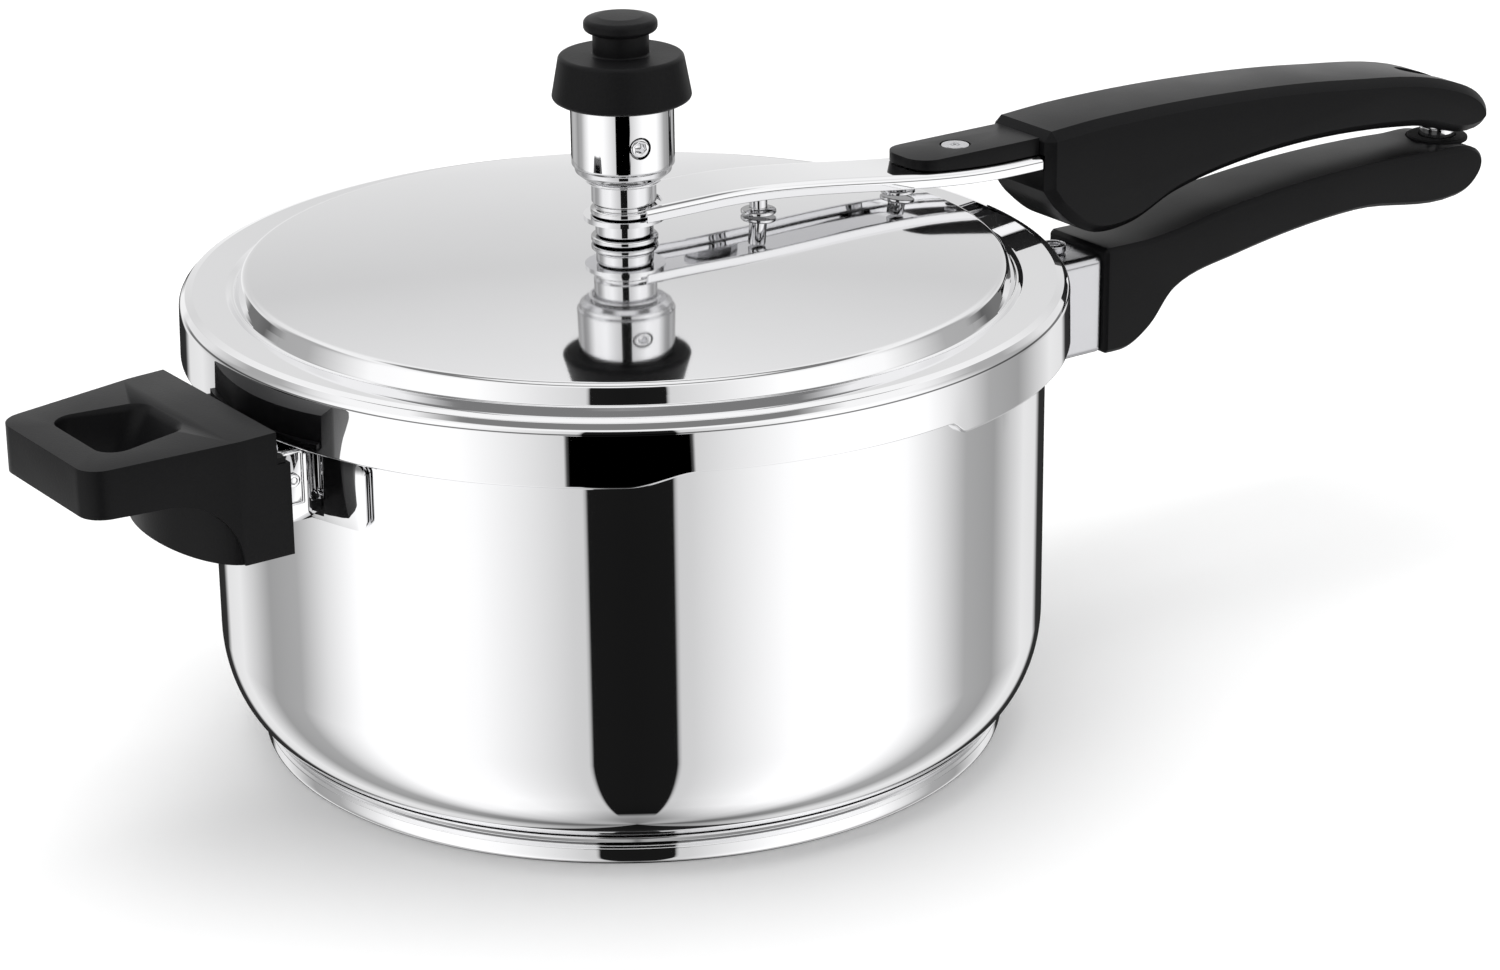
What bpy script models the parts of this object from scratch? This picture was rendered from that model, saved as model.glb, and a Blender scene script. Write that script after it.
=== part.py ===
"""Stovetop pressure cooker: a steel pot with an outer lid that turns under two rim lugs.

Metres, +Z up. The origin is on the pot's axis, in the plane that the cooker stands on.
+X points along the two long handles, and the small helper handle is at -X.
"""

import math

import bmesh
import bpy
from mathutils import Matrix, Vector

OBJECT_NAME = "pressure_cooker"

# Fits and mesh fineness
GAP = 0.0003  # between pieces that touch
FIT = 0.0005  # round a piece that another one holds
WELD = 0.00001
LARGE_STEPS = 48
MEDIUM_STEPS = 24
SMALL_STEPS = 14
CURVE_STEPS = 3  # straight runs in each rounded span of an outline

# Pot
POT_RADIUS = 0.1010
POT_WALL = 0.0012
POT_HEIGHT = 0.1070
POT_CORNER_WIDTH = 0.0200
POT_CORNER_HEIGHT = 0.0240
RIM_BEAD = 0.0009
RIM_HEIGHT = 0.0045
LUG_REACH = 0.0015
LUG_HALF_ANGLE = math.radians(18)
LUG_CENTRE = math.radians(-48)

# Sandwich base
BASE_INSET = 0.0095  # from the pot's side
BASE_HEIGHT = 0.0050
BASE_CAP_WALL = 0.0008
BASE_CORNER = 0.0020

# Sealing ring
SEAL_HEIGHT = 0.0050
SEAL_COVER = 0.0055  # how far it reaches in over the pot's rim
SEAL_LIP = 0.0016

# Lid
LID_WALL = 0.0010
SKIRT_ROOM = 0.0060  # from the pot's side to the outside of the skirt
SKIRT_DEPTH = 0.0156
SKIRT_SHALLOW_DEPTH = 0.0123
SHALLOW_CENTRE = math.radians(-99.5)
SHALLOW_HALF_ANGLE = math.radians(20.5)
CREASE_INSET = 0.0018
CREASE_DROP = 0.0030
CREASE_SOFTNESS = 0.0015
LIP_HEIGHT = 0.0012
GROOVE_INSET = 0.0135
GROOVE_WIDTH = 0.0020
GROOVE_DEPTH = 0.0007
DOME_EDGE_RISE = 0.0037
DOME_RISE = 0.0043

# Vent in the middle of the lid
VENT_RADIUS = 0.0030
VENT_BORE = 0.0012
VENT_SPACER_RADIUS = 0.0070
VENT_SPACER_HEIGHT = 0.0051
VENT_RING_RADIUS = 0.0081
VENT_RING_HEIGHT = 0.0014
VENT_NUT_RADIUS = 0.0075
VENT_NUT_HEIGHT = 0.0045
VENT_WASHER_HEIGHT = 0.0010
VENT_TAIL = 0.0030

# Weight that sits on the vent
SLEEVE_WALL = 0.0046
SLEEVE_HEIGHT = 0.0090
WEIGHT_RADIUS = 0.01235
WEIGHT_HEIGHT = 0.0180
WEIGHT_CHAMFER = 0.0016
WEIGHT_SEAT_DEPTH = 0.0060
CAP_OVERHANG = 0.0044
CAP_TAPER = 0.00175
CAP_HEIGHT = 0.0112
KNOB_NECK_RADIUS = 0.0067
KNOB_NECK_HEIGHT = 0.0054
KNOB_RADIUS = 0.0088
KNOB_HEIGHT = 0.0040
KNOB_EDGE = 0.0010
SET_SCREW_RADIUS = 0.0024
SET_SCREW_LENGTH = 0.0050
SET_SCREW_RISE = 0.0094
SET_SCREW_ANGLE = math.radians(-104)
CENTRE_SCREW_RADIUS = 0.0020
CENTRE_SCREW_LENGTH = 0.0180
CLIP_WIRE_RADIUS = 0.0004
CLIP_REACH = 0.00345  # of the bent end, out from the ring
CLIP_OPENING = 50  # degrees each side of the bent end

# Safety plug behind the strap
PLUG_PLACE = (0.0420, 0.0240)
PLUG_RADIUS = 0.0040
PLUG_FLANGE_RADIUS = 0.0065
PLUG_FLANGE_HEIGHT = 0.0022
PLUG_CROWN_HEIGHT = 0.0012
PLUG_NUT_HEIGHT = 0.0030

# Strap from the vent to the lid handle
STRAP_WIDTH = 0.0200
STRAP_SHEET = 0.0012
STRAP_DEPTH = 0.0035
STRAP_RISE = 0.0031
STRAP_DROP = 0.0084
STRAP_BEND_START = 0.0200
STRAP_BEND_OVERRUN = 0.0050  # past the skirt
STRAP_BEND_STEPS = 8
STRAP_EYE_RIM = 0.0017
INNER_STUD_X = 0.0394
OUTER_STUD_INSET = 0.0092
STUD_FLANGE_RADIUS = 0.0044
STUD_FLANGE_HEIGHT = 0.0011
STUD_RADIUS = 0.0022

# Tongue on top of the strap
TONGUE_LENGTH = 0.0382
TONGUE_INSET = 0.0015
TONGUE_SHEET = 0.0024
TONGUE_SCREW_INSET = 0.0175
TONGUE_SCREW_RADIUS = 0.0018
TONGUE_HEAD_RADIUS = 0.0038
TONGUE_HEAD_HEIGHT = 0.0012

# Lid handle
LID_HANDLE_SETBACK = 0.0142  # from the skirt to the handle's front
LID_HANDLE_CHEEK = 0.0025  # on each side of the strap
STRAP_GRIP = 0.0348  # how far the strap goes into the handle
LID_HANDLE_TAIL_RISE = -0.0187  # of the tail's underside, from the strap's level top
HANDLE_EDGE = 0.0035
HANDLE_EDGE_SEGMENTS = 2
HANG_SLOT_INSET = 0.1428
HANG_SLOT_LENGTH = 0.0190
HANG_SLOT_WIDTH = 0.0090
LID_SCREW_INSET = 0.0208
LID_SCREW_RADIUS = 0.0020
LID_SCREW_HEAD_RADIUS = 0.0036
LID_SCREW_HEAD_HEIGHT = 0.0022
LID_SCREW_POCKET = 0.0080

# Body handle and its bracket, with heights counted down from the skirt's lower edge
BODY_HANDLE_SETBACK = 0.0204  # behind the lid handle's front
BODY_HANDLE_CHEEK = 0.0020
BODY_HANDLE_DROP = 0.0030
BODY_BRACKET_WIDTH = 0.0200
BODY_BRACKET_DROP = 0.0050
BODY_BRACKET_HEIGHT = 0.0266
BRACKET_SHEET = 0.0012
BRACKET_BEND = 0.0022
BRACKET_ROOT = 0.0040  # how far the tube starts inside the pot's side before it is cut to it
BODY_PAD_HALF_ANGLE = math.radians(29)
BODY_PAD_DROP = 0.0025
BODY_PAD_HEIGHT = 0.0210
TENON_LENGTH = 0.0236
TENON_CLEARANCE = 0.0006
TENON_ROOT = 0.0040
BODY_SCREW_INSET = 0.0086
BODY_SCREW_RADIUS = 0.0020
BODY_SCREW_HEAD_RADIUS = 0.0036
BODY_SCREW_HEAD_HEIGHT = 0.0022
BODY_SCREW_LENGTH = 0.0120

# Stud between the handles' tails
STUD_OFFSET = 0.0065  # out from the middle of the hanging slot
TAIL_SEAT_RISE = 0.0020
TAIL_STUD_RADIUS = 0.0050
TAIL_STUD_ROOT = 0.0060
GROMMET_RIM = 0.0031
GROMMET_HEIGHT = 0.0012

# Helper handle and its bracket
HELPER_LENGTH = 0.0475
HELPER_WIDTH = 0.0530
HELPER_TAPER = 0.0045  # on each side, at the outer end
HELPER_STRAIGHT = 0.0120
HELPER_DROP = 0.0022  # below the pot's rim
HELPER_TILT = 0.0015
HELPER_THICKNESS = 0.0128
HELPER_BLOCK_HEIGHT = 0.0298
HELPER_BLOCK_LENGTH = 0.0125
HELPER_NOSE = 0.0090
HELPER_CORNER = 0.0060
HELPER_EDGE = 0.0026
HELPER_SETBACK = 0.0070  # from the pot's side
HELPER_CLEARANCE = 0.0042  # from the skirt
FINGER_RIM = 0.0085
FINGER_LENGTH = 0.0220
FINGER_LOWER_LENGTH = 0.0165
FINGER_OUTER_HALF = 0.0155
FINGER_INNER_HALF = 0.0100
FINGER_CORNER = 0.0040
HELPER_BRACKET_WIDTH = 0.0400
HELPER_BRACKET_DROP = 0.0010
HELPER_BRACKET_HEIGHT = 0.0172
HELPER_PAD_HALF_ANGLE = math.radians(21.4)
HELPER_PAD_INSET = 0.0006
HELPER_SLOT_WIDTH = 0.0040
HELPER_SLOT_INSET = 0.0012
HELPER_WEB_HEIGHT = 0.0068
HELPER_TENON_LENGTH = 0.0120
HELPER_TENON_WIDTH = 0.0160
HELPER_TENON_SHEET = 0.0024
HELPER_SCREW_INSET = 0.0070
HELPER_SCREW_RADIUS = 0.0022
HELPER_SCREW_HEAD_RADIUS = 0.0042
HELPER_SCREW_HEAD_HEIGHT = 0.0025
HELPER_SCREW_POCKET = 0.0040

# Radii that follow from the pot
BASE_RADIUS = POT_RADIUS - BASE_INSET
SEAL_INNER_RADIUS = POT_RADIUS - SEAL_COVER
SKIRT_RADIUS = POT_RADIUS + SKIRT_ROOM
SKIRT_INNER = SKIRT_RADIUS - LID_WALL
CREASE_RADIUS = SKIRT_RADIUS - CREASE_INSET
GROOVE_RADIUS = SKIRT_RADIUS - GROOVE_INSET
DOME_RADIUS = GROOVE_RADIUS - GROOVE_WIDTH
LIP_RADIUS = POT_RADIUS + LUG_REACH + FIT
PAD_INNER = POT_RADIUS + GAP
PAD_OUTER = PAD_INNER + BRACKET_SHEET
SLEEVE_RADIUS = VENT_RADIUS + FIT + SLEEVE_WALL
CAP_RADIUS = WEIGHT_RADIUS + CAP_OVERHANG

# Heights that follow from the stack of pieces
SEAL_LOW = POT_HEIGHT + GAP
LID_INNER = SEAL_LOW + SEAL_HEIGHT + GAP
LID_TOP = LID_INNER + LID_WALL
SKIRT_LOW = LID_TOP - SKIRT_DEPTH
DOME_TOP = LID_TOP + DOME_EDGE_RISE + DOME_RISE
SPACER_LOW = DOME_TOP + GAP
SPACER_TOP = SPACER_LOW + VENT_SPACER_HEIGHT
EYE_LOW = SPACER_TOP + GAP
EYE_TOP = EYE_LOW + STRAP_SHEET
SLEEVE_LOW = EYE_TOP + GAP
SLEEVE_TOP = SLEEVE_LOW + SLEEVE_HEIGHT
WEIGHT_LOW = SLEEVE_TOP + GAP
WEIGHT_TOP = WEIGHT_LOW + WEIGHT_HEIGHT
KNOB_LOW = WEIGHT_TOP + GAP
VENT_TIP = WEIGHT_LOW + WEIGHT_SEAT_DEPTH
STRAP_LEVEL = EYE_TOP + STRAP_RISE - STRAP_DROP  # of the strap's top, in the lid handle
BODY_BRACKET_TOP = SKIRT_LOW - BODY_BRACKET_DROP
BODY_BRACKET_LOW = BODY_BRACKET_TOP - BODY_BRACKET_HEIGHT
BODY_HANDLE_TOP = SKIRT_LOW - BODY_HANDLE_DROP
BODY_PAD_TOP = SKIRT_LOW - BODY_PAD_DROP
TAIL_SEAT = SKIRT_LOW + TAIL_SEAT_RISE
HELPER_TOP = POT_HEIGHT - HELPER_DROP
HELPER_LOW = HELPER_TOP - HELPER_BLOCK_HEIGHT
HELPER_BRACKET_TOP = SKIRT_LOW - HELPER_BRACKET_DROP
HELPER_BRACKET_LOW = HELPER_BRACKET_TOP - HELPER_BRACKET_HEIGHT
HELPER_TENON_LOW = (HELPER_BRACKET_TOP + HELPER_BRACKET_LOW) / 2

# Places along the handles' line
STRAP_BEND_END = SKIRT_RADIUS + STRAP_BEND_OVERRUN
LID_HANDLE_FRONT = SKIRT_RADIUS + LID_HANDLE_SETBACK
STRAP_END = LID_HANDLE_FRONT + STRAP_GRIP
TONGUE_START = LID_HANDLE_FRONT - TONGUE_LENGTH
TONGUE_SCREW_X = TONGUE_START + TONGUE_SCREW_INSET
LID_SCREW_X = LID_HANDLE_FRONT + LID_SCREW_INSET
HANG_SLOT_X = LID_HANDLE_FRONT + HANG_SLOT_INSET
BODY_HANDLE_FRONT = LID_HANDLE_FRONT + BODY_HANDLE_SETBACK
BODY_SCREW_X = BODY_HANDLE_FRONT - BODY_SCREW_INSET
TENON_START = BODY_HANDLE_FRONT - TENON_LENGTH
STUD_X = HANG_SLOT_X + STUD_OFFSET
HELPER_ROOT = -(POT_RADIUS + HELPER_SETBACK)
HELPER_END = HELPER_ROOT - HELPER_LENGTH
HELPER_SCREW_X = HELPER_ROOT - HELPER_SCREW_INSET
FINGER_START = HELPER_END + FINGER_RIM
FINGER_END = FINGER_START + FINGER_LENGTH

# Widths across the handles
LID_HANDLE_WIDTH = STRAP_WIDTH + 2 * LID_HANDLE_CHEEK
BODY_HANDLE_WIDTH = BODY_BRACKET_WIDTH + 2 * BODY_HANDLE_CHEEK
TONGUE_WIDTH = STRAP_WIDTH - 2 * TONGUE_INSET

STEEL = ("polished_steel", (0.78, 0.78, 0.80), 0.08, 1.0)
BRUSHED_STEEL = ("satin_steel", (0.66, 0.66, 0.68), 0.30, 1.0)
ALUMINIUM = ("aluminium", (0.72, 0.73, 0.74), 0.40, 1.0)
BRASS = ("brass", (0.72, 0.58, 0.28), 0.30, 1.0)
BLACK_RESIN = ("black_resin", (0.018, 0.018, 0.019), 0.35, 0.0)
BLACK_RUBBER = ("black_rubber", (0.022, 0.022, 0.023), 0.80, 0.0)


def clear_scene():
    for obj in list(bpy.data.objects):
        bpy.data.objects.remove(obj, do_unlink=True)


def new_collection(name):
    collection = bpy.data.collections.new(name)
    bpy.context.scene.collection.children.link(collection)
    return collection


def material(finish):
    """The Principled material of a finish, made once and then shared."""
    name, colour, roughness, metallic = finish
    found = bpy.data.materials.get(name)
    if found:
        return found
    made = bpy.data.materials.new(name)
    made.use_nodes = True
    shader = made.node_tree.nodes["Principled BSDF"]
    shader.inputs["Base Color"].default_value = (*colour, 1.0)
    shader.inputs["Roughness"].default_value = roughness
    shader.inputs["Metallic"].default_value = metallic
    made.diffuse_color = (*colour, 1.0)
    return made


class Shop:
    """The two collections that pieces and cutters are put in, and the axis that new ones ride on."""

    def __init__(self):
        self.parts = new_collection(OBJECT_NAME)
        self.cutters = new_collection("cutters")
        self.cutters.hide_render = True
        self.axis = None

    def start_axis(self, name, height):
        """Puts an empty on the pot's axis, on the last one, and carries the next pieces on it."""
        empty = bpy.data.objects.new(name, None)
        empty.empty_display_size = POT_RADIUS
        empty.location = (0.0, 0.0, height)
        self.parts.objects.link(empty)
        self.carry(empty)
        self.axis = empty

    def carry(self, obj):
        if self.axis is not None:
            obj.parent = self.axis
            obj.matrix_parent_inverse = Matrix.Translation(-self.axis.location)

    def part(self, obj, finish, sharp_angle=35):
        self.parts.objects.link(obj)
        self.carry(obj)
        obj.data.materials.clear()
        obj.data.materials.append(material(finish))
        obj.data.shade_smooth()
        obj.data.set_sharp_from_angle(angle=math.radians(sharp_angle))
        return obj

    def helper(self, obj):
        self.cutters.objects.link(obj)
        self.carry(obj)
        obj.hide_render = True
        obj.display_type = "WIRE"
        return obj

    def cut(self, obj, cutter, operation="DIFFERENCE"):
        """Adds a Boolean with a helper object to a piece."""
        self.helper(cutter)
        boolean = obj.modifiers.new(operation.lower() + "_" + cutter.name, "BOOLEAN")
        boolean.operation = operation
        boolean.solver = "EXACT"
        boolean.object = cutter

    def join(self, obj, other):
        self.cut(obj, other, "UNION")


def plain_mesh(obj):
    """A mesh object with the evaluated shape of obj, which is removed. The caps are welded on."""
    scratch = bpy.data.collections.new("scratch")
    bpy.context.scene.collection.children.link(scratch)
    scratch.objects.link(obj)
    bpy.context.view_layer.update()
    graph = bpy.context.evaluated_depsgraph_get()
    mesh = bpy.data.meshes.new_from_object(obj.evaluated_get(graph))
    mesh.transform(obj.matrix_world)
    name = obj.name
    bpy.data.objects.remove(obj, do_unlink=True)
    bpy.data.collections.remove(scratch)
    shape = bmesh.new()
    shape.from_mesh(mesh)
    bmesh.ops.remove_doubles(shape, verts=shape.verts, dist=WELD)
    bmesh.ops.recalc_face_normals(shape, faces=shape.faces)
    shape.to_mesh(mesh)
    shape.free()
    return bpy.data.objects.new(name, mesh)


def along(x):
    """A place on the handles' line, upright."""
    return Matrix.Translation((x, 0.0, 0.0))


def turned(name, profile, steps, place=None):
    """A shape turned round Z from (radius, height) points that run down the outer side first.

    A profile that starts or ends off the axis is closed into a ring.
    """
    mesh = bpy.data.meshes.new(name)
    shape = bmesh.new()
    points = [shape.verts.new((radius, 0.0, height)) for radius, height in profile]
    for first, second in zip(points, points[1:]):
        shape.edges.new((first, second))
    if profile[0][0] > WELD or profile[-1][0] > WELD:
        shape.edges.new((points[-1], points[0]))
    shape.to_mesh(mesh)
    shape.free()
    obj = bpy.data.objects.new(name, mesh)
    screw = obj.modifiers.new("turn", "SCREW")
    screw.axis = "Z"
    screw.steps = steps
    screw.render_steps = steps
    screw.use_merge_vertices = True
    screw.merge_threshold = WELD
    obj = plain_mesh(obj)
    if place is not None:
        obj.matrix_world = place
    return obj


def rod(name, radius, low, high, steps=SMALL_STEPS, place=None):
    """A plain cylinder on Z from low to high."""
    mesh = bpy.data.meshes.new(name)
    shape = bmesh.new()
    middle = Matrix.Translation((0.0, 0.0, (low + high) / 2))
    bmesh.ops.create_cone(
        shape,
        cap_ends=True,
        segments=steps,
        radius1=radius,
        radius2=radius,
        depth=high - low,
        matrix=middle,
    )
    shape.to_mesh(mesh)
    shape.free()
    obj = bpy.data.objects.new(name, mesh)
    if place is not None:
        mesh.transform(place)
    return obj


def screw(name, radius, head_radius, head_height, length, place, steps=SMALL_STEPS):
    """A screw or rivet: its head is above Z = 0 and its shank below."""
    profile = [
        (0.0, head_height),
        (head_radius * 0.7, head_height),
        (head_radius, head_height * 0.45),
        (head_radius, 0.0),
        (radius, 0.0),
        (radius, -length),
        (0.0, -length),
    ]
    return turned(name, profile, steps, place)


def slab(name, outline, thickness, corners="corner", holes=(), resolution=CURVE_STEPS):
    """A flat outline in the XY plane, thick in both directions along Z.

    Each point is (x, y) or (x, y, "round" or "corner"). A round point lies on a smooth curve.
    """
    curve = bpy.data.curves.new(name, "CURVE")
    curve.dimensions = "2D"
    curve.fill_mode = "BOTH"
    curve.extrude = thickness / 2
    curve.resolution_u = resolution
    for loop in (outline, *holes):
        spline = curve.splines.new("BEZIER")
        spline.use_cyclic_u = True
        spline.bezier_points.add(len(loop) - 1)
        for point, knot in zip(spline.bezier_points, loop):
            kind = knot[2] if len(knot) > 2 else corners
            point.co = (knot[0], knot[1], 0.0)
            point.handle_left_type = "AUTO" if kind == "round" else "VECTOR"
            point.handle_right_type = point.handle_left_type
    return bpy.data.objects.new(name, curve)


def side_slab(name, outline, width, **options):
    """A side outline of (x, z) points that is thick along Y."""
    obj = slab(name, outline, width, **options)
    obj.matrix_world = Matrix.Rotation(math.radians(90), 4, "X")
    return plain_mesh(obj)


def level_slab(name, outline, low, high, **options):
    """A plan outline of (x, y) points between two heights."""
    obj = slab(name, outline, high - low, **options)
    obj.matrix_world = Matrix.Translation((0.0, 0.0, (low + high) / 2))
    return plain_mesh(obj)


def sector(name, inner, outer, low, high, centre, half_angle, steps=8):
    """A piece of a flat ring between two radii and two angles."""
    angles = [centre - half_angle + 2 * half_angle * i / steps for i in range(steps + 1)]
    outline = [(outer * math.cos(a), outer * math.sin(a)) for a in angles]
    outline += [(inner * math.cos(a), inner * math.sin(a)) for a in reversed(angles)]
    return level_slab(name, outline, low, high, resolution=1)


def box(name, low, high):
    """A block between two corners."""
    mesh = bpy.data.meshes.new(name)
    shape = bmesh.new()
    bmesh.ops.create_cube(shape, size=1.0)
    size = Vector(high) - Vector(low)
    middle = (Vector(high) + Vector(low)) / 2
    bmesh.ops.scale(shape, vec=size, verts=shape.verts)
    bmesh.ops.translate(shape, vec=middle, verts=shape.verts)
    shape.to_mesh(mesh)
    shape.free()
    return bpy.data.objects.new(name, mesh)


def rounded(obj, width, segments, angle=50):
    """Rounds the sharp edges of a piece."""
    bevel = obj.modifiers.new("edges", "BEVEL")
    bevel.width = width
    bevel.segments = segments
    bevel.limit_method = "ANGLE"
    bevel.angle_limit = math.radians(angle)
    return obj


def arc(centre, radii, start, end, steps):
    """Points on an ellipse's arc, with angles in degrees."""
    points = []
    for i in range(steps + 1):
        angle = math.radians(start + (end - start) * i / steps)
        x = centre[0] + radii[0] * math.cos(angle)
        points.append((x, centre[1] + radii[1] * math.sin(angle)))
    return points


def dome_height(radius):
    """Height of the dome's top surface over a radius of the lid."""
    return DOME_TOP - DOME_RISE * (radius / DOME_RADIUS) ** 2


def dome_place(x, y):
    """A frame on the dome's surface, with Z along the surface's normal."""
    radius = math.hypot(x, y)
    slope = 2 * DOME_RISE * radius / DOME_RADIUS**2
    normal = Vector((x / radius * slope, y / radius * slope, 1.0)).normalized()
    turn = Vector((0.0, 0.0, 1.0)).rotation_difference(normal).to_matrix().to_4x4()
    return Matrix.Translation((x, y, dome_height(radius))) @ turn


def pot_shell(shop):
    corner_middle = (POT_RADIUS - POT_CORNER_WIDTH, BASE_HEIGHT + GAP + POT_CORNER_HEIGHT)
    outer_corner = arc(corner_middle, (POT_CORNER_WIDTH, POT_CORNER_HEIGHT), 0, -90, 6)
    inner_radii = (POT_CORNER_WIDTH - POT_WALL, POT_CORNER_HEIGHT - POT_WALL)
    inner_corner = arc(corner_middle, inner_radii, -90, 0, 6)
    rim_radius = POT_RADIUS + LUG_REACH
    profile = [
        (rim_radius - GAP, POT_HEIGHT),
        (rim_radius, POT_HEIGHT - GAP),
        (rim_radius, POT_HEIGHT - RIM_HEIGHT),
        (POT_RADIUS, POT_HEIGHT - RIM_HEIGHT - LUG_REACH),
        *outer_corner,
        (0.0, corner_middle[1] - POT_CORNER_HEIGHT),
        (0.0, corner_middle[1] - inner_radii[1]),
        *inner_corner,
        (POT_RADIUS - POT_WALL, POT_HEIGHT),
    ]
    shell = turned("pot_shell", profile, LARGE_STEPS)
    for side in (0, 1):
        free_middle = LUG_CENTRE + math.pi / 2 + side * math.pi
        free_half = math.pi / 2 - LUG_HALF_ANGLE
        notch = sector(
            f"rim_notch_{side + 1}",
            POT_RADIUS + RIM_BEAD,
            rim_radius + FIT,
            POT_HEIGHT - RIM_HEIGHT - LUG_REACH - FIT,
            POT_HEIGHT + FIT,
            free_middle,
            free_half,
            LARGE_STEPS // 2,
        )
        shop.cut(shell, notch)
    return shop.part(shell, STEEL)


def base_core(shop):
    radius = BASE_RADIUS - BASE_CAP_WALL - GAP
    low = BASE_CAP_WALL + GAP
    profile = [
        (0.0, BASE_HEIGHT),
        (radius - BASE_CORNER, BASE_HEIGHT),
        (radius - GAP, BASE_HEIGHT - GAP),
        (radius - GAP, low + BASE_CORNER),
        (radius - BASE_CORNER, low),
        (0.0, low),
    ]
    return shop.part(turned("base_core", profile, LARGE_STEPS), ALUMINIUM)


def base_cap(shop):
    inner = BASE_RADIUS - BASE_CAP_WALL
    profile = [
        (BASE_RADIUS, BASE_HEIGHT),
        *arc((BASE_RADIUS - BASE_CORNER, BASE_CORNER), (BASE_CORNER, BASE_CORNER), 0, -90, 3),
        (0.0, 0.0),
        (0.0, BASE_CAP_WALL),
        (inner - BASE_CORNER, BASE_CAP_WALL),
        (inner, BASE_CAP_WALL + BASE_CORNER),
        (inner, BASE_HEIGHT),
    ]
    return shop.part(turned("base_cap", profile, LARGE_STEPS), STEEL)


def sealing_ring(shop):
    outer = SKIRT_INNER - GAP
    top = SEAL_LOW + SEAL_HEIGHT
    groove = SEAL_LOW + SEAL_LIP
    profile = [
        (CREASE_RADIUS - LID_WALL - GAP, top),
        (outer, LID_TOP - CREASE_DROP - 2 * GAP),
        (outer, SEAL_LOW),
        (SEAL_INNER_RADIUS, SEAL_LOW),
        (SEAL_INNER_RADIUS, groove),
        (SEAL_INNER_RADIUS + 2 * SEAL_LIP, groove),
        (SEAL_INNER_RADIUS + 2 * SEAL_LIP, top - SEAL_LIP),
        (SEAL_INNER_RADIUS + SEAL_LIP, top - SEAL_LIP),
        (SEAL_INNER_RADIUS + SEAL_LIP, top),
    ]
    return shop.part(turned("sealing_ring", profile, LARGE_STEPS), BLACK_RUBBER)


def lid_profile():
    dome = [(DOME_RADIUS * i / 5, dome_height(DOME_RADIUS * i / 5)) for i in range(6)]
    under = [(radius, height - LID_WALL) for radius, height in reversed(dome[:-1])]
    return [
        *dome,
        (DOME_RADIUS + GROOVE_WIDTH / 2, LID_TOP + GROOVE_DEPTH),
        (GROOVE_RADIUS, LID_TOP - GROOVE_DEPTH),
        (GROOVE_RADIUS + GROOVE_WIDTH, LID_TOP - GROOVE_DEPTH / 2),
        (CREASE_RADIUS - CREASE_SOFTNESS, LID_TOP),
        (CREASE_RADIUS, LID_TOP - GAP),
        (SKIRT_RADIUS - GAP, LID_TOP - CREASE_DROP * 0.6),
        (SKIRT_RADIUS, LID_TOP - 2 * CREASE_DROP),
        (SKIRT_RADIUS, SKIRT_LOW + LIP_HEIGHT / 2),
        (SKIRT_RADIUS - LIP_HEIGHT / 2, SKIRT_LOW),
        (LIP_RADIUS, SKIRT_LOW),
        (LIP_RADIUS, SKIRT_LOW + LIP_HEIGHT),
        (SKIRT_INNER, SKIRT_LOW + LIP_HEIGHT),
        (SKIRT_INNER, LID_TOP - CREASE_DROP),
        (CREASE_RADIUS - LID_WALL, LID_INNER),
        (GROOVE_RADIUS + GROOVE_WIDTH, LID_INNER),
        (GROOVE_RADIUS - LID_WALL, LID_INNER - GROOVE_DEPTH),
        (DOME_RADIUS - LID_WALL, LID_TOP + DOME_EDGE_RISE - LID_WALL),
        *under,
    ]


def lid_shell(shop):
    shell = turned("lid_shell", lid_profile(), LARGE_STEPS)
    shallow_low = LID_TOP - SKIRT_SHALLOW_DEPTH
    for side in (0, 1):
        window = sector(
            f"skirt_step_{side + 1}",
            LIP_RADIUS - FIT,
            SKIRT_RADIUS + FIT,
            SKIRT_LOW - FIT,
            shallow_low,
            SHALLOW_CENTRE + side * math.pi,
            SHALLOW_HALF_ANGLE,
            16,
        )
        shop.cut(shell, window)
    shop.cut(shell, rod("vent_hole", VENT_RADIUS + GAP, LID_INNER, DOME_TOP + FIT))
    depth = LID_WALL + FIT
    plug_hole = rod("plug_hole", PLUG_RADIUS + GAP, -2 * depth, depth, place=dome_place(*PLUG_PLACE))
    shop.cut(shell, plug_hole)
    return shop.part(shell, STEEL)


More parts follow.
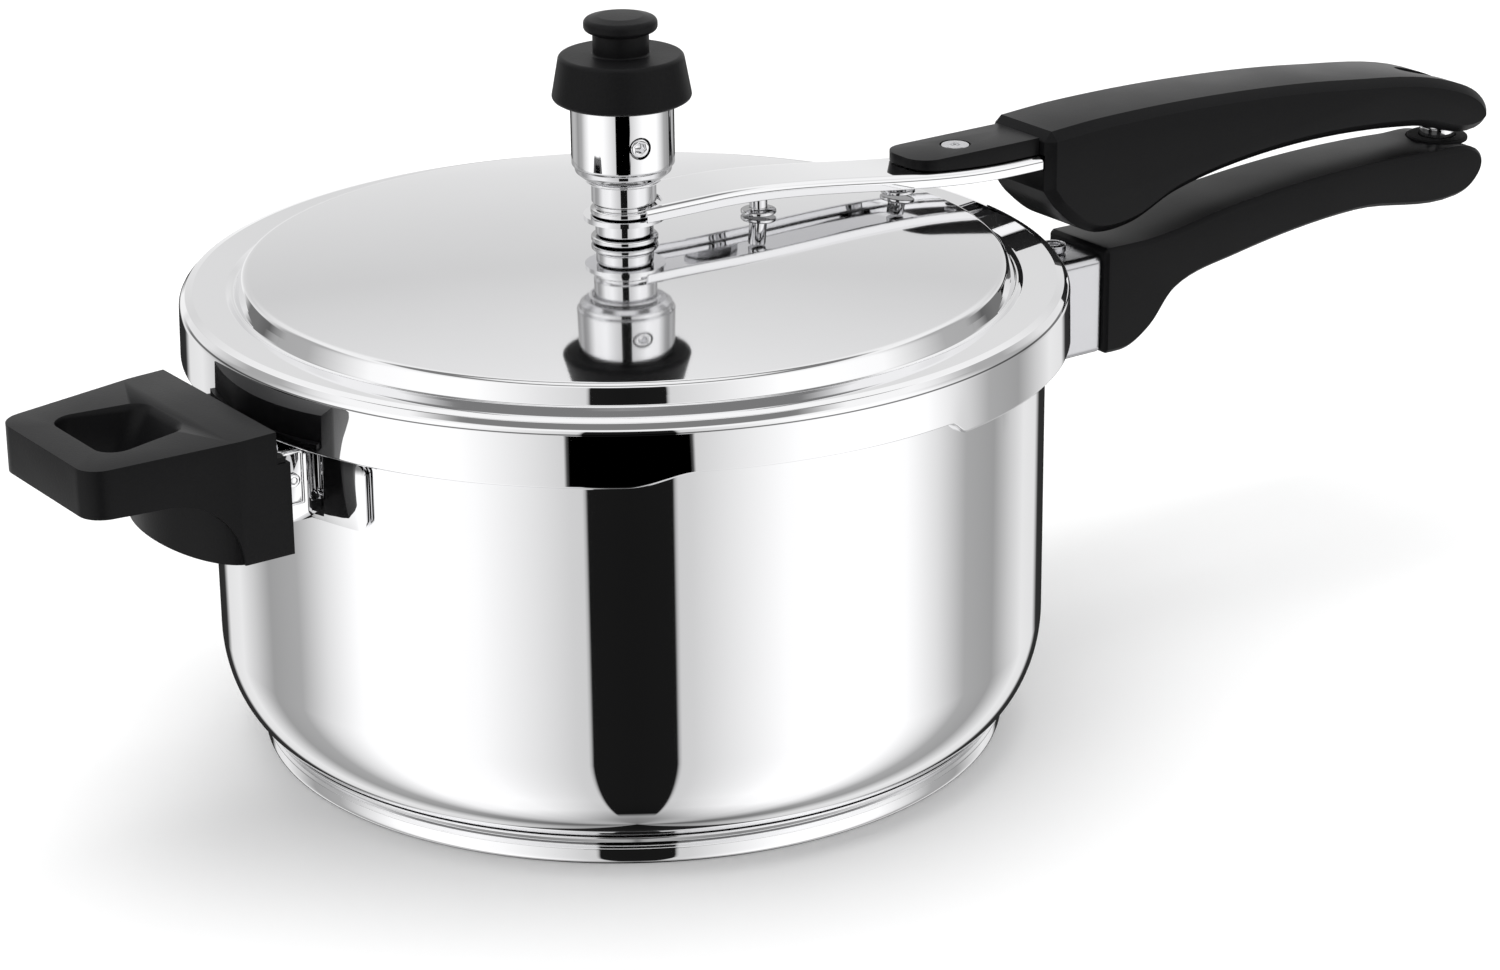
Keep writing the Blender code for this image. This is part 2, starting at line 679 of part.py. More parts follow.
def vent(shop):
    """The vent pipe and the pieces that clamp it to the lid."""
    washer_top = DOME_TOP - LID_WALL - GAP
    nut_top = washer_top - VENT_WASHER_HEIGHT - GAP
    nut_low = nut_top - VENT_NUT_HEIGHT
    low = nut_low - VENT_TAIL
    pipe = [
        (VENT_RADIUS * 0.7, VENT_TIP),
        (VENT_RADIUS, VENT_TIP - VENT_RADIUS * 0.3),
        (VENT_RADIUS, low),
        (VENT_BORE, low),
        (VENT_BORE, VENT_TIP),
    ]
    shop.part(turned("vent_pipe", pipe, SMALL_STEPS), BRUSHED_STEEL)
    hole = VENT_RADIUS + GAP
    ring_low = SPACER_LOW
    ring_top = ring_low + VENT_RING_HEIGHT
    ring = [
        (VENT_RING_RADIUS - GAP, ring_top),
        (VENT_RING_RADIUS, ring_top - GAP),
        (VENT_RING_RADIUS, ring_low + GAP),
        (VENT_RING_RADIUS - GAP, ring_low),
        (hole, ring_low),
        (hole, ring_top),
    ]
    shop.part(turned("vent_ring", ring, MEDIUM_STEPS), STEEL)
    spacer = [
        (VENT_SPACER_RADIUS, SPACER_TOP),
        (VENT_SPACER_RADIUS, ring_top + GAP),
        (hole, ring_top + GAP),
        (hole, SPACER_TOP),
    ]
    shop.part(turned("vent_spacer", spacer, MEDIUM_STEPS), STEEL)
    washer = [
        (VENT_NUT_RADIUS, washer_top),
        (VENT_NUT_RADIUS, nut_top + GAP),
        (hole, nut_top + GAP),
        (hole, washer_top),
    ]
    shop.part(turned("vent_washer", washer, MEDIUM_STEPS), BLACK_RUBBER)
    nut = rod("vent_nut", VENT_NUT_RADIUS, nut_low, nut_top, steps=6)
    shop.cut(nut, rod("vent_nut_bore", hole, nut_low - FIT, nut_top + FIT))
    shop.part(nut, BRUSHED_STEEL)


def safety_plug(shop):
    """The fusible plug on the dome and the nut inside that holds it."""
    place = dome_place(*PLUG_PLACE)
    nut_top = -LID_WALL - GAP
    nut_low = nut_top - PLUG_NUT_HEIGHT
    shank_low = nut_low - GAP
    profile = [
        (0.0, PLUG_FLANGE_HEIGHT + PLUG_CROWN_HEIGHT),
        (PLUG_RADIUS, PLUG_FLANGE_HEIGHT + PLUG_CROWN_HEIGHT),
        (PLUG_RADIUS, PLUG_FLANGE_HEIGHT),
        (PLUG_FLANGE_RADIUS, PLUG_FLANGE_HEIGHT),
        (PLUG_FLANGE_RADIUS, GAP),
        (PLUG_RADIUS, GAP),
        (PLUG_RADIUS, shank_low),
        (0.0, shank_low),
    ]
    shop.part(turned("safety_plug", profile, SMALL_STEPS, place), BRASS)
    nut = rod("safety_plug_nut", PLUG_FLANGE_RADIUS, nut_low, nut_top, 6, place)
    bore = rod("plug_nut_bore", PLUG_RADIUS + GAP, nut_low - FIT, nut_top + FIT, place=place)
    shop.cut(nut, bore)
    shop.part(nut, BRUSHED_STEEL)


def strap_top(x):
    """Height of the strap's top surface: level, down in a smooth bend, and level again."""
    share = (x - STRAP_BEND_START) / (STRAP_BEND_END - STRAP_BEND_START)
    share = min(max(share, 0.0), 1.0)
    return EYE_TOP + STRAP_RISE - STRAP_DROP * share * share * (3 - 2 * share)


def strap_bar(name, width, top_drop, bottom_drop, start, end):
    """A bar that follows the strap between two depths below its top surface."""
    length = STRAP_BEND_END - STRAP_BEND_START
    steps = range(STRAP_BEND_STEPS + 1)
    bend = [STRAP_BEND_START + length * i / STRAP_BEND_STEPS for i in steps]
    stations = [start] + [x for x in bend if start < x < end] + [end]
    upper = [(x, strap_top(x) - top_drop) for x in stations]
    lower = [(x, strap_top(x) - bottom_drop) for x in reversed(stations)]
    return side_slab(name, upper + lower, width, resolution=1)


def lid_strap(shop):
    inside = STRAP_WIDTH - 2 * STRAP_SHEET
    strap = strap_bar("lid_strap", STRAP_WIDTH, 0.0, STRAP_DEPTH, 0.0, STRAP_END)
    depth = 2 * STRAP_DEPTH
    hollow = strap_bar("strap_hollow", inside, STRAP_SHEET, depth, -FIT, STRAP_END + FIT)
    shop.cut(strap, hollow)
    room = rod("sleeve_room", SLEEVE_RADIUS + 2 * FIT, EYE_TOP - FIT / 4, WEIGHT_LOW, MEDIUM_STEPS)
    shop.cut(strap, room)
    eye_radius = max(SLEEVE_RADIUS + STRAP_EYE_RIM, STRAP_WIDTH / 2 - GAP)
    shop.join(strap, rod("strap_eye", eye_radius, EYE_LOW, EYE_TOP, MEDIUM_STEPS))
    shop.cut(strap, rod("eye_hole", VENT_RADIUS + GAP, EYE_LOW - FIT, EYE_TOP + FIT))
    holes = (
        ("tongue_hole", TONGUE_SCREW_RADIUS, TONGUE_SCREW_X),
        ("handle_screw_hole", LID_SCREW_RADIUS, LID_SCREW_X),
    )
    for name, radius, x in holes:
        shop.cut(strap, rod(name, radius + GAP, LID_TOP, WEIGHT_LOW, place=along(x)))
    return shop.part(strap, STEEL)


def strap_studs(shop):
    """The two studs that carry the strap over the dome."""
    places = (
        ("strap_stud_inner", INNER_STUD_X),
        ("strap_stud_outer", DOME_RADIUS - OUTER_STUD_INSET),
    )
    for name, x in places:
        low = dome_height(x - STUD_FLANGE_RADIUS) + GAP
        flange_top = low + STUD_FLANGE_HEIGHT
        top = strap_top(x + STUD_RADIUS) - STRAP_SHEET - GAP
        profile = [
            (0.0, top),
            (STUD_RADIUS, top),
            (STUD_RADIUS, flange_top),
            (STUD_FLANGE_RADIUS - GAP, flange_top),
            (STUD_FLANGE_RADIUS, low + GAP),
            (STUD_FLANGE_RADIUS, low),
            (0.0, low),
        ]
        shop.part(turned(name, profile, SMALL_STEPS, along(x)), STEEL)


def tongue(shop):
    """The black plate on the strap, and the screw through it."""
    start = TONGUE_START
    end = LID_HANDLE_FRONT - GAP
    stations = [start + (end - start) * i / 4 for i in range(5)]
    top = strap_top(start) + GAP + TONGUE_SHEET
    upper = [(x, top) for x in (start, end)]
    lower = [(x, strap_top(x) + GAP) for x in reversed(stations)]
    plate = side_slab("lid_handle_tongue", upper + lower, TONGUE_WIDTH, resolution=1)
    half = TONGUE_WIDTH / 2
    plan = [
        (start + half, -half),
        (end + FIT, -half - FIT),
        (end + FIT, half + FIT),
        (start + half, half),
        *arc((start + half, 0.0), (half, half), 120, 240, 4),
    ]
    outline = level_slab("tongue_plan", plan, LID_TOP, WEIGHT_TOP, resolution=1)
    shop.cut(plate, outline, "INTERSECT")
    seat = top - TONGUE_HEAD_HEIGHT
    middle = along(TONGUE_SCREW_X)
    pocket_radius = TONGUE_HEAD_RADIUS + FIT
    shop.cut(plate, rod("tongue_pocket", pocket_radius, seat - GAP, top + FIT, place=middle))
    shop.cut(plate, rod("tongue_bore", TONGUE_SCREW_RADIUS + GAP, LID_TOP, top, place=middle))
    shop.part(plate, BLACK_RESIN)
    length = seat - strap_top(TONGUE_SCREW_X) + STRAP_SHEET + GAP
    place = Matrix.Translation((TONGUE_SCREW_X, 0.0, seat))
    head = screw(
        "tongue_screw",
        TONGUE_SCREW_RADIUS,
        TONGUE_HEAD_RADIUS,
        TONGUE_HEAD_HEIGHT,
        length,
        place,
    )
    shop.part(head, BRUSHED_STEEL)


def lid_handle_outline():
    """The lid handle's side, from its front top corner round the tail and back."""
    reach_and_rise = [
        (0.0, 0.0061),
        (0.0188, 0.0071, "round"),
        (0.0588, 0.0066, "round"),
        (0.1038, 0.0030, "round"),
        (0.1438, -0.0040, "round"),
        (0.1558, -0.0107, "round"),
        (0.1578, -0.0157, "round"),
        (0.1533, LID_HANDLE_TAIL_RISE, "round"),
        (0.1298, -0.0142, "round"),
        (0.0968, -0.0117, "round"),
        (0.0668, -0.0131, "round"),
        (0.0443, -0.0171, "round"),
        (0.0288, -0.0229, "round"),
        (0.0158, -0.0228, "round"),
        (0.0043, -0.0147, "round"),
        (0.0, -0.0092),
    ]
    return [(LID_HANDLE_FRONT + x, STRAP_LEVEL + z, *kind) for x, z, *kind in reach_and_rise]


def lid_handle(shop):
    handle = side_slab("lid_handle", lid_handle_outline(), LID_HANDLE_WIDTH)
    rounded(handle, HANDLE_EDGE, HANDLE_EDGE_SEGMENTS)
    slot = strap_bar(
        "strap_slot",
        STRAP_WIDTH + 2 * FIT,
        -FIT,
        STRAP_DEPTH + FIT,
        LID_HANDLE_FRONT - HANDLE_EDGE,
        STRAP_END + FIT,
    )
    shop.cut(handle, slot)
    half = HANG_SLOT_WIDTH / 2
    reach = HANG_SLOT_LENGTH / 2 - half
    outline = arc((HANG_SLOT_X + reach, 0.0), (half, half), -90, 90, 6)
    outline += arc((HANG_SLOT_X - reach, 0.0), (half, half), 90, 270, 6)
    shop.cut(handle, level_slab("hang_slot", outline, SKIRT_LOW, WEIGHT_LOW, resolution=1))
    head_top = strap_top(LID_SCREW_X) - STRAP_DEPTH - FIT - LID_SCREW_POCKET
    place = along(LID_SCREW_X)
    pocket_radius = LID_SCREW_HEAD_RADIUS + FIT
    shop.cut(handle, rod("screw_pocket", pocket_radius, BODY_HANDLE_TOP, head_top, place=place))
    bore_radius = LID_SCREW_RADIUS + GAP
    shop.cut(handle, rod("screw_bore", bore_radius, head_top - FIT, STRAP_LEVEL, place=place))
    shop.part(handle, BLACK_RESIN)
    flip = Matrix.Translation((LID_SCREW_X, 0.0, head_top - GAP)) @ Matrix.Rotation(math.pi, 4, "X")
    length = strap_top(LID_SCREW_X) - head_top
    bolt = screw(
        "lid_handle_screw",
        LID_SCREW_RADIUS,
        LID_SCREW_HEAD_RADIUS,
        LID_SCREW_HEAD_HEIGHT,
        length,
        flip,
    )
    shop.part(bolt, BRUSHED_STEEL)


def weight(shop):
    """The weight that rests on the vent's tip, with its black cap and knob."""
    cavity = VENT_RADIUS + FIT
    sleeve = [
        (SLEEVE_RADIUS, SLEEVE_TOP),
        (SLEEVE_RADIUS, SLEEVE_LOW + GAP),
        (SLEEVE_RADIUS - GAP, SLEEVE_LOW),
        (cavity, SLEEVE_LOW),
        (cavity, SLEEVE_TOP),
    ]
    shop.part(turned("weight_sleeve", sleeve, MEDIUM_STEPS), STEEL)
    seat = VENT_TIP + GAP
    screw_low = WEIGHT_TOP - CENTRE_SCREW_LENGTH / 2
    body = [
        (0.0, screw_low - GAP),
        (CENTRE_SCREW_RADIUS + GAP, screw_low - GAP),
        (CENTRE_SCREW_RADIUS + GAP, WEIGHT_TOP),
        (WEIGHT_RADIUS - GAP, WEIGHT_TOP),
        (WEIGHT_RADIUS, WEIGHT_TOP - GAP),
        (WEIGHT_RADIUS, WEIGHT_LOW + WEIGHT_CHAMFER),
        (WEIGHT_RADIUS - WEIGHT_CHAMFER, WEIGHT_LOW),
        (cavity, WEIGHT_LOW),
        (cavity, seat),
        (0.0, seat),
    ]
    shell = turned("weight_body", body, MEDIUM_STEPS)
    turn = Matrix.Rotation(SET_SCREW_ANGLE, 4, "Z") @ Matrix.Rotation(math.radians(90), 4, "Y")
    side = Matrix.Translation((0.0, 0.0, WEIGHT_LOW + SET_SCREW_RISE)) @ turn
    inner_end = WEIGHT_RADIUS - SET_SCREW_LENGTH
    outer_end = WEIGHT_RADIUS + FIT
    hole_radius = SET_SCREW_RADIUS + GAP
    shop.cut(shell, rod("set_screw_hole", hole_radius, inner_end - GAP, outer_end, place=side))
    shop.part(shell, STEEL)
    outer_end = WEIGHT_RADIUS - FIT
    screw_body = rod("weight_set_screw", SET_SCREW_RADIUS, inner_end, outer_end, place=side)
    shop.part(screw_body, BRUSHED_STEEL)
    stud_top = screw_low + CENTRE_SCREW_LENGTH
    shop.part(rod("weight_centre_screw", CENTRE_SCREW_RADIUS, screw_low, stud_top), BRUSHED_STEEL)
    cap_top = KNOB_LOW + CAP_HEIGHT
    neck_top = cap_top + KNOB_NECK_HEIGHT
    knob_top = neck_top + KNOB_HEIGHT
    knob = [
        (0.0, knob_top),
        (KNOB_RADIUS - KNOB_EDGE, knob_top),
        (KNOB_RADIUS, knob_top - KNOB_EDGE),
        (KNOB_RADIUS, neck_top + KNOB_EDGE),
        (KNOB_NECK_RADIUS, neck_top),
        (KNOB_NECK_RADIUS, cap_top),
        (CAP_RADIUS - CAP_TAPER - KNOB_EDGE, cap_top),
        (CAP_RADIUS - CAP_TAPER, cap_top - KNOB_EDGE),
        (CAP_RADIUS, KNOB_LOW + KNOB_EDGE),
        (CAP_RADIUS - KNOB_EDGE, KNOB_LOW),
        (CENTRE_SCREW_RADIUS + GAP, KNOB_LOW),
        (CENTRE_SCREW_RADIUS + GAP, stud_top + GAP),
        (0.0, stud_top + GAP),
    ]
    shop.part(turned("weight_knob", knob, MEDIUM_STEPS), BLACK_RESIN)


def weight_clip(shop):
    """An open wire ring that grips the sleeve just under the weight."""
    curve = bpy.data.curves.new("weight_clip", "CURVE")
    curve.dimensions = "3D"
    curve.bevel_depth = CLIP_WIRE_RADIUS
    curve.bevel_resolution = 2
    curve.use_fill_caps = True
    ring_radius = SLEEVE_RADIUS + CLIP_WIRE_RADIUS + GAP
    height = SLEEVE_TOP - 2 * CLIP_WIRE_RADIUS
    radii = (ring_radius, ring_radius)
    points = arc((0.0, 0.0), radii, CLIP_OPENING, 360 - CLIP_OPENING, 16)
    reach = ring_radius + CLIP_REACH
    points += [((reach + ring_radius) / 2, -ring_radius / 2), (reach, 0.0)]
    spline = curve.splines.new("POLY")
    spline.points.add(len(points) - 1)
    for point, (x, y) in zip(spline.points, points):
        point.co = (x, y, height, 1.0)
    clip = plain_mesh(bpy.data.objects.new("weight_clip", curve))
    shop.part(clip, STEEL)


def body_handle_bracket(shop):
    """The square tube that stands out from the pot, with its pad on the pot's wall."""
    half = BODY_BRACKET_WIDTH / 2
    inside = half - BRACKET_SHEET
    front = BODY_HANDLE_FRONT - GAP
    root = POT_RADIUS - BRACKET_ROOT
    tube = box("body_handle_bracket", (root, -half, BODY_BRACKET_LOW), (front, half, BODY_BRACKET_TOP))
    rounded(tube, BRACKET_BEND, 3)
    bore_low = (root - FIT, -inside, BODY_BRACKET_LOW + BRACKET_SHEET)
    bore_high = (front + FIT, inside, BODY_BRACKET_TOP - BRACKET_SHEET)
    shop.cut(tube, box("bracket_bore", bore_low, bore_high))
    pad = sector(
        "body_bracket_pad",
        PAD_INNER,
        PAD_OUTER,
        BODY_PAD_TOP - BODY_PAD_HEIGHT,
        BODY_PAD_TOP,
        0.0,
        BODY_PAD_HALF_ANGLE,
        12,
    )
    shop.join(tube, pad)
    shop.cut(tube, rod("pot_room", PAD_INNER, 0.0, POT_HEIGHT, LARGE_STEPS))
    low = BODY_BRACKET_TOP - BRACKET_SHEET - FIT
    radius = BODY_SCREW_RADIUS + GAP
    shop.cut(tube, rod("bracket_hole", radius, low, POT_HEIGHT, place=along(BODY_SCREW_X)))
    return shop.part(tube, STEEL)


def body_handle_outline():
    """The body handle's side, from its front top corner round the tail and back."""
    reach_and_rise = [
        (0.0, 0.0),
        (0.0174, 0.0001, "round"),
        (0.0449, 0.0039, "round"),
        (0.0804, 0.0063, "round"),
        (0.1174, 0.0057, "round"),
        (0.1329, 0.0040, "round"),
        (0.1359, 0.0, "round"),
        (0.1329, -0.0057, "round"),
        (0.1259, -0.0085, "round"),
        (0.0884, -0.0057, "round"),
        (0.0454, -0.0100, "round"),
        (0.0246, -0.0150, "round"),
        (0.0159, -0.0240, "round"),
        (0.0084, -0.0282, "round"),
        (0.0, -0.0286),
    ]
    return [(BODY_HANDLE_FRONT + x, BODY_HANDLE_TOP + z, *kind) for x, z, *kind in reach_and_rise]


def body_handle(shop):
    """The lower long handle and its tenon, which the bracket's tube holds, and the screw in it."""
    handle = side_slab("body_handle", body_handle_outline(), BODY_HANDLE_WIDTH)
    rounded(handle, HANDLE_EDGE, HANDLE_EDGE_SEGMENTS)
    clear = BRACKET_SHEET + TENON_CLEARANCE
    half = BODY_BRACKET_WIDTH / 2 - clear
    low_corner = (TENON_START, -half, BODY_BRACKET_LOW + clear)
    high_corner = (BODY_HANDLE_FRONT + TENON_ROOT, half, BODY_BRACKET_TOP - clear)
    shop.join(handle, box("tenon", low_corner, high_corner))
    head_low = BODY_BRACKET_TOP + GAP
    screw_low = head_low - BODY_SCREW_LENGTH - GAP
    radius = BODY_SCREW_RADIUS + GAP
    place = along(BODY_SCREW_X)
    shop.cut(handle, rod("tenon_hole", radius, screw_low, POT_HEIGHT, place=place))
    tail = along(STUD_X)
    root = TAIL_SEAT - TAIL_STUD_ROOT
    grommet_radius = TAIL_STUD_RADIUS + GAP + GROMMET_RIM
    seat = rod("grommet_seat", grommet_radius + FIT, TAIL_SEAT - GAP, LID_TOP, MEDIUM_STEPS, tail)
    shop.cut(handle, seat)
    shop.cut(handle, rod("stud_socket", TAIL_STUD_RADIUS + GAP, root - GAP, LID_TOP, place=tail))
    shop.part(handle, BLACK_RESIN)
    bolt = screw(
        "body_handle_screw",
        BODY_SCREW_RADIUS,
        BODY_SCREW_HEAD_RADIUS,
        BODY_SCREW_HEAD_HEIGHT,
        BODY_SCREW_LENGTH,
        along(BODY_SCREW_X) @ Matrix.Translation((0.0, 0.0, head_low)),
    )
    shop.part(bolt, BRUSHED_STEEL)
    stud_top = STRAP_LEVEL + LID_HANDLE_TAIL_RISE - FIT
    shop.part(rod("tail_stud", TAIL_STUD_RADIUS, root, stud_top, place=tail), STEEL)
    hole_radius = TAIL_STUD_RADIUS + GAP
    top = TAIL_SEAT + GROMMET_HEIGHT
    ring = [
        (grommet_radius - GAP, top),
        (grommet_radius, top - GAP),
        (grommet_radius, TAIL_SEAT),
        (hole_radius, TAIL_SEAT),
        (hole_radius, top),
    ]
    shop.part(turned("tail_grommet", ring, MEDIUM_STEPS, tail), BLACK_RUBBER)


def helper_bracket(shop):
    """A channel with two side walls, pads on the pot's wall and a tongue that the handle holds."""
    half = HELPER_BRACKET_WIDTH / 2
    inside = half - BRACKET_SHEET
    front = HELPER_ROOT + GAP
    high_corner = (-POT_RADIUS * math.cos(HELPER_PAD_HALF_ANGLE), half, HELPER_BRACKET_TOP)
    bracket = box("helper_bracket", (front, -half, HELPER_BRACKET_LOW), high_corner)
    rounded(bracket, BRACKET_BEND / 2, 2)
    room = box("bracket_room", (front + BRACKET_SHEET, -inside, 0.0), (0.0, inside, POT_HEIGHT))
    shop.cut(bracket, room)
    for side, name in ((1, "helper_pad_near"), (-1, "helper_pad_far")):
        edge_angle = math.asin((half - BRACKET_SHEET / 2) / PAD_OUTER)
        middle = math.pi + side * (edge_angle + HELPER_PAD_HALF_ANGLE) / 2
        pad = sector(
            name,
            PAD_INNER,
            PAD_OUTER,
            HELPER_BRACKET_LOW + HELPER_PAD_INSET,
            HELPER_BRACKET_TOP - HELPER_PAD_INSET,
            middle,
            (HELPER_PAD_HALF_ANGLE - edge_angle) / 2,
            4,
        )
        shop.join(bracket, pad)
        slot_inner = half + HELPER_SLOT_INSET
        edges = sorted((-side * slot_inner, -side * (slot_inner + HELPER_SLOT_WIDTH)))
        slot = box(
            name + "_slot",
            (HELPER_ROOT, edges[0], HELPER_BRACKET_LOW + HELPER_WEB_HEIGHT),
            (0.0, edges[1], POT_HEIGHT),
        )
        shop.cut(bracket, slot)
    shop.cut(bracket, rod("helper_pot_room", PAD_INNER, 0.0, POT_HEIGHT, LARGE_STEPS))
    tongue = box(
        "helper_tongue",
        (HELPER_ROOT - HELPER_TENON_LENGTH, -HELPER_TENON_WIDTH / 2, HELPER_TENON_LOW),
        (front + BRACKET_SHEET / 2, HELPER_TENON_WIDTH / 2, HELPER_TENON_LOW + HELPER_TENON_SHEET),
    )
    shop.join(bracket, tongue)
    radius = HELPER_SCREW_RADIUS + GAP
    shop.cut(bracket, rod("tongue_bore_hole", radius, 0.0, POT_HEIGHT, place=along(HELPER_SCREW_X)))
    return shop.part(bracket, STEEL)


def helper_side():
    """The helper handle's side: a slab with a block under its root and a hollow curve between."""
    skirt_edge = -(SKIRT_RADIUS + HELPER_CLEARANCE)
    slab_low = HELPER_TOP - HELPER_THICKNESS
    block_end = HELPER_ROOT - HELPER_BLOCK_LENGTH
    rise = slab_low - HELPER_LOW
    return [
        (skirt_edge, HELPER_TOP),
        (HELPER_END, HELPER_TOP - HELPER_TILT),
        (HELPER_END, slab_low),
        *arc((block_end - rise, HELPER_LOW), (rise, rise), 90, 0, 5),
        (HELPER_ROOT, HELPER_LOW),
        (HELPER_ROOT, HELPER_BRACKET_TOP),
        (skirt_edge, HELPER_BRACKET_TOP),
    ]


def helper_plan():
    """The helper handle's outline from above, with its outer corners rounded."""
    half = HELPER_WIDTH / 2 + FIT
    outer_half = half - HELPER_TAPER
    far = HELPER_END - FIT
    straight = HELPER_ROOT - HELPER_STRAIGHT
    return [
        (HELPER_ROOT + FIT, -half),
        (HELPER_ROOT + FIT, half),
        (straight, half),
        (far + HELPER_CORNER, outer_half, "round"),
        (far, outer_half - HELPER_CORNER, "round"),
        (far, -outer_half + HELPER_CORNER, "round"),
        (far + HELPER_CORNER, -outer_half, "round"),
        (straight, -half),
    ]


def helper_nose():
    """The block's outline from above, where it bulges outwards."""
    half = HELPER_WIDTH / 2 - HELPER_EDGE
    end = HELPER_ROOT - HELPER_BLOCK_LENGTH + HELPER_EDGE
    reach = HELPER_NOSE + HELPER_EDGE
    root = HELPER_ROOT - HELPER_EDGE
    return [(root, half), *arc((end, 0.0), (reach, half), 90, 270, 10), (root, -half)]


def finger_hole():
    """The cutter of the finger hole, which is shorter at the bottom to clear the block."""
    turn = FINGER_CORNER
    start = FINGER_START
    outer = (start + turn, FINGER_OUTER_HALF - turn)
    inner = (FINGER_END - turn, FINGER_INNER_HALF - turn)
    half_outline = arc(outer, (turn, turn), 180, 90, 4) + arc(inner, (turn, turn), 90, 0, 4)
    other_half = [(x, -y) for x, y in reversed(half_outline)]
    low = HELPER_TOP - 2 * HELPER_THICKNESS
    top = HELPER_TOP + 2 * HELPER_THICKNESS
    cutter = level_slab("finger_hole", half_outline + other_half, low, top, resolution=1)
    taper = 1 - FINGER_LOWER_LENGTH / FINGER_LENGTH
    for point in cutter.data.vertices:
        drop = (HELPER_TOP - point.co.z) / HELPER_THICKNESS
        point.co.x = start + (point.co.x - start) * (1 - drop * taper)
    return cutter


def helper_handle(shop):
    """The small handle across from the long ones, and the screw that holds it from below."""
    handle = side_slab("helper_handle", helper_side(), HELPER_WIDTH, resolution=1)
    shop.cut(handle, level_slab("helper_plan", helper_plan(), 0.0, WEIGHT_LOW), "INTERSECT")
    rounded(handle, HELPER_EDGE, HANDLE_EDGE_SEGMENTS)
    nose_top = HELPER_TOP - HELPER_THICKNESS / 2
    nose = level_slab("helper_nose", helper_nose(), HELPER_LOW + GAP, nose_top, resolution=1)
    shop.join(handle, nose)
    skirt_room = SKIRT_RADIUS + HELPER_CLEARANCE
    room = rod("skirt_room", skirt_room, HELPER_BRACKET_TOP, WEIGHT_LOW, LARGE_STEPS)
    shop.cut(handle, room)
    half = HELPER_TENON_WIDTH / 2 + FIT
    slot = box(
        "helper_tongue_slot",
        (HELPER_ROOT - HELPER_TENON_LENGTH - FIT, -half, HELPER_TENON_LOW - FIT),
        (0.0, half, HELPER_TENON_LOW + HELPER_TENON_SHEET + FIT),
    )
    shop.cut(handle, slot)
    seat = HELPER_LOW + HELPER_SCREW_POCKET
    place = along(HELPER_SCREW_X)
    pocket_radius = HELPER_SCREW_HEAD_RADIUS + FIT
    shop.cut(handle, rod("helper_pocket", pocket_radius, 0.0, seat + GAP, place=place))
    top = HELPER_TENON_LOW + HELPER_TENON_SHEET + 2 * FIT
    shop.cut(handle, rod("helper_bore", HELPER_SCREW_RADIUS + GAP, seat, top, place=place))
    shop.cut(handle, finger_hole())
    shop.part(handle, BLACK_RESIN)
    flip = along(HELPER_SCREW_X) @ Matrix.Translation((0.0, 0.0, seat)) @ Matrix.Rotation(math.pi, 4, "X")
    bolt = screw(
        "helper_handle_screw",
        HELPER_SCREW_RADIUS,
        HELPER_SCREW_HEAD_RADIUS,
        HELPER_SCREW_HEAD_HEIGHT,
        top - FIT - seat,
        flip,
    )
    shop.part(bolt, BRUSHED_STEEL)


def main():
    clear_scene()
    shop = Shop()
    pot_shell(shop)
    base_core(shop)
    base_cap(shop)
    body_handle_bracket(shop)
    body_handle(shop)
    helper_bracket(shop)
    helper_handle(shop)
    shop.start_axis("seal_axis", SEAL_LOW)
    sealing_ring(shop)
    shop.start_axis("lid_axis", LID_TOP)
    lid_shell(shop)
    vent(shop)
    safety_plug(shop)
    lid_strap(shop)
    strap_studs(shop)
    tongue(shop)
    lid_handle(shop)
    shop.start_axis("weight_axis", SLEEVE_LOW)
    weight(shop)
    weight_clip(shop)


main()
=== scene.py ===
"""Looks of the stovetop pressure cooker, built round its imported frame."""

import logging
import math
from dataclasses import dataclass, field
from enum import Enum

import bmesh
import bpy
from mathutils import Matrix, Vector


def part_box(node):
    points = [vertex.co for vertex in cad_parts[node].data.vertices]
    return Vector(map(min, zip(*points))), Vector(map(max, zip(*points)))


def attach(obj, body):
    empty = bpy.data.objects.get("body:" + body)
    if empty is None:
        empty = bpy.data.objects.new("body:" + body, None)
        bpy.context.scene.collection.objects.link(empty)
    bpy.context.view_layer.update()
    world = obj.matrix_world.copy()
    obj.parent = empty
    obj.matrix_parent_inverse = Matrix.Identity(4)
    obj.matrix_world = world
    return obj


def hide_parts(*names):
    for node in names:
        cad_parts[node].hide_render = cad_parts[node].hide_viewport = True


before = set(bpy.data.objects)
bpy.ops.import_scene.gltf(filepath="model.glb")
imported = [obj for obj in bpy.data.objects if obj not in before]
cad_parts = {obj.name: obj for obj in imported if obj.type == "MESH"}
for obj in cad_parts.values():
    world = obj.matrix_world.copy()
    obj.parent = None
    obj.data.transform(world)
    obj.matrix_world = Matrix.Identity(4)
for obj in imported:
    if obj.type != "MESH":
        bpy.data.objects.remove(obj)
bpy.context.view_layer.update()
LOG = logging.getLogger("pressure_cooker")

GAP = 0.0003  # between pieces that touch
WELD = 0.000002
LARGE_STEPS = 192
MEDIUM_STEPS = 96
SMALL_STEPS = 48
ARC_STEP = math.radians(9)
SHARP_EDGE = math.radians(32)  # faces that meet at more than this stay sharp
CUT = 0.01  # how far a cutter runs past what it cuts
WIRE_SIDES = 16
HEAD_SEED = 7
HEAD_OVERLAP = 0.0001  # of a screw's head over its shank
DOME_INSET = 0.0155  # from the skirt to the dome's edge


class Body(Enum):
    """The moving bodies of the cooker."""

    POT = "pot"
    SEAL = "seal"
    LID = "lid"
    WEIGHT = "weight"


class Slot(Enum):
    """Material slot names for the remade pieces."""

    POLISHED = "polished_steel"
    SATIN = "satin_steel"
    RESIN = "black_resin"
    RUBBER = "black_rubber"


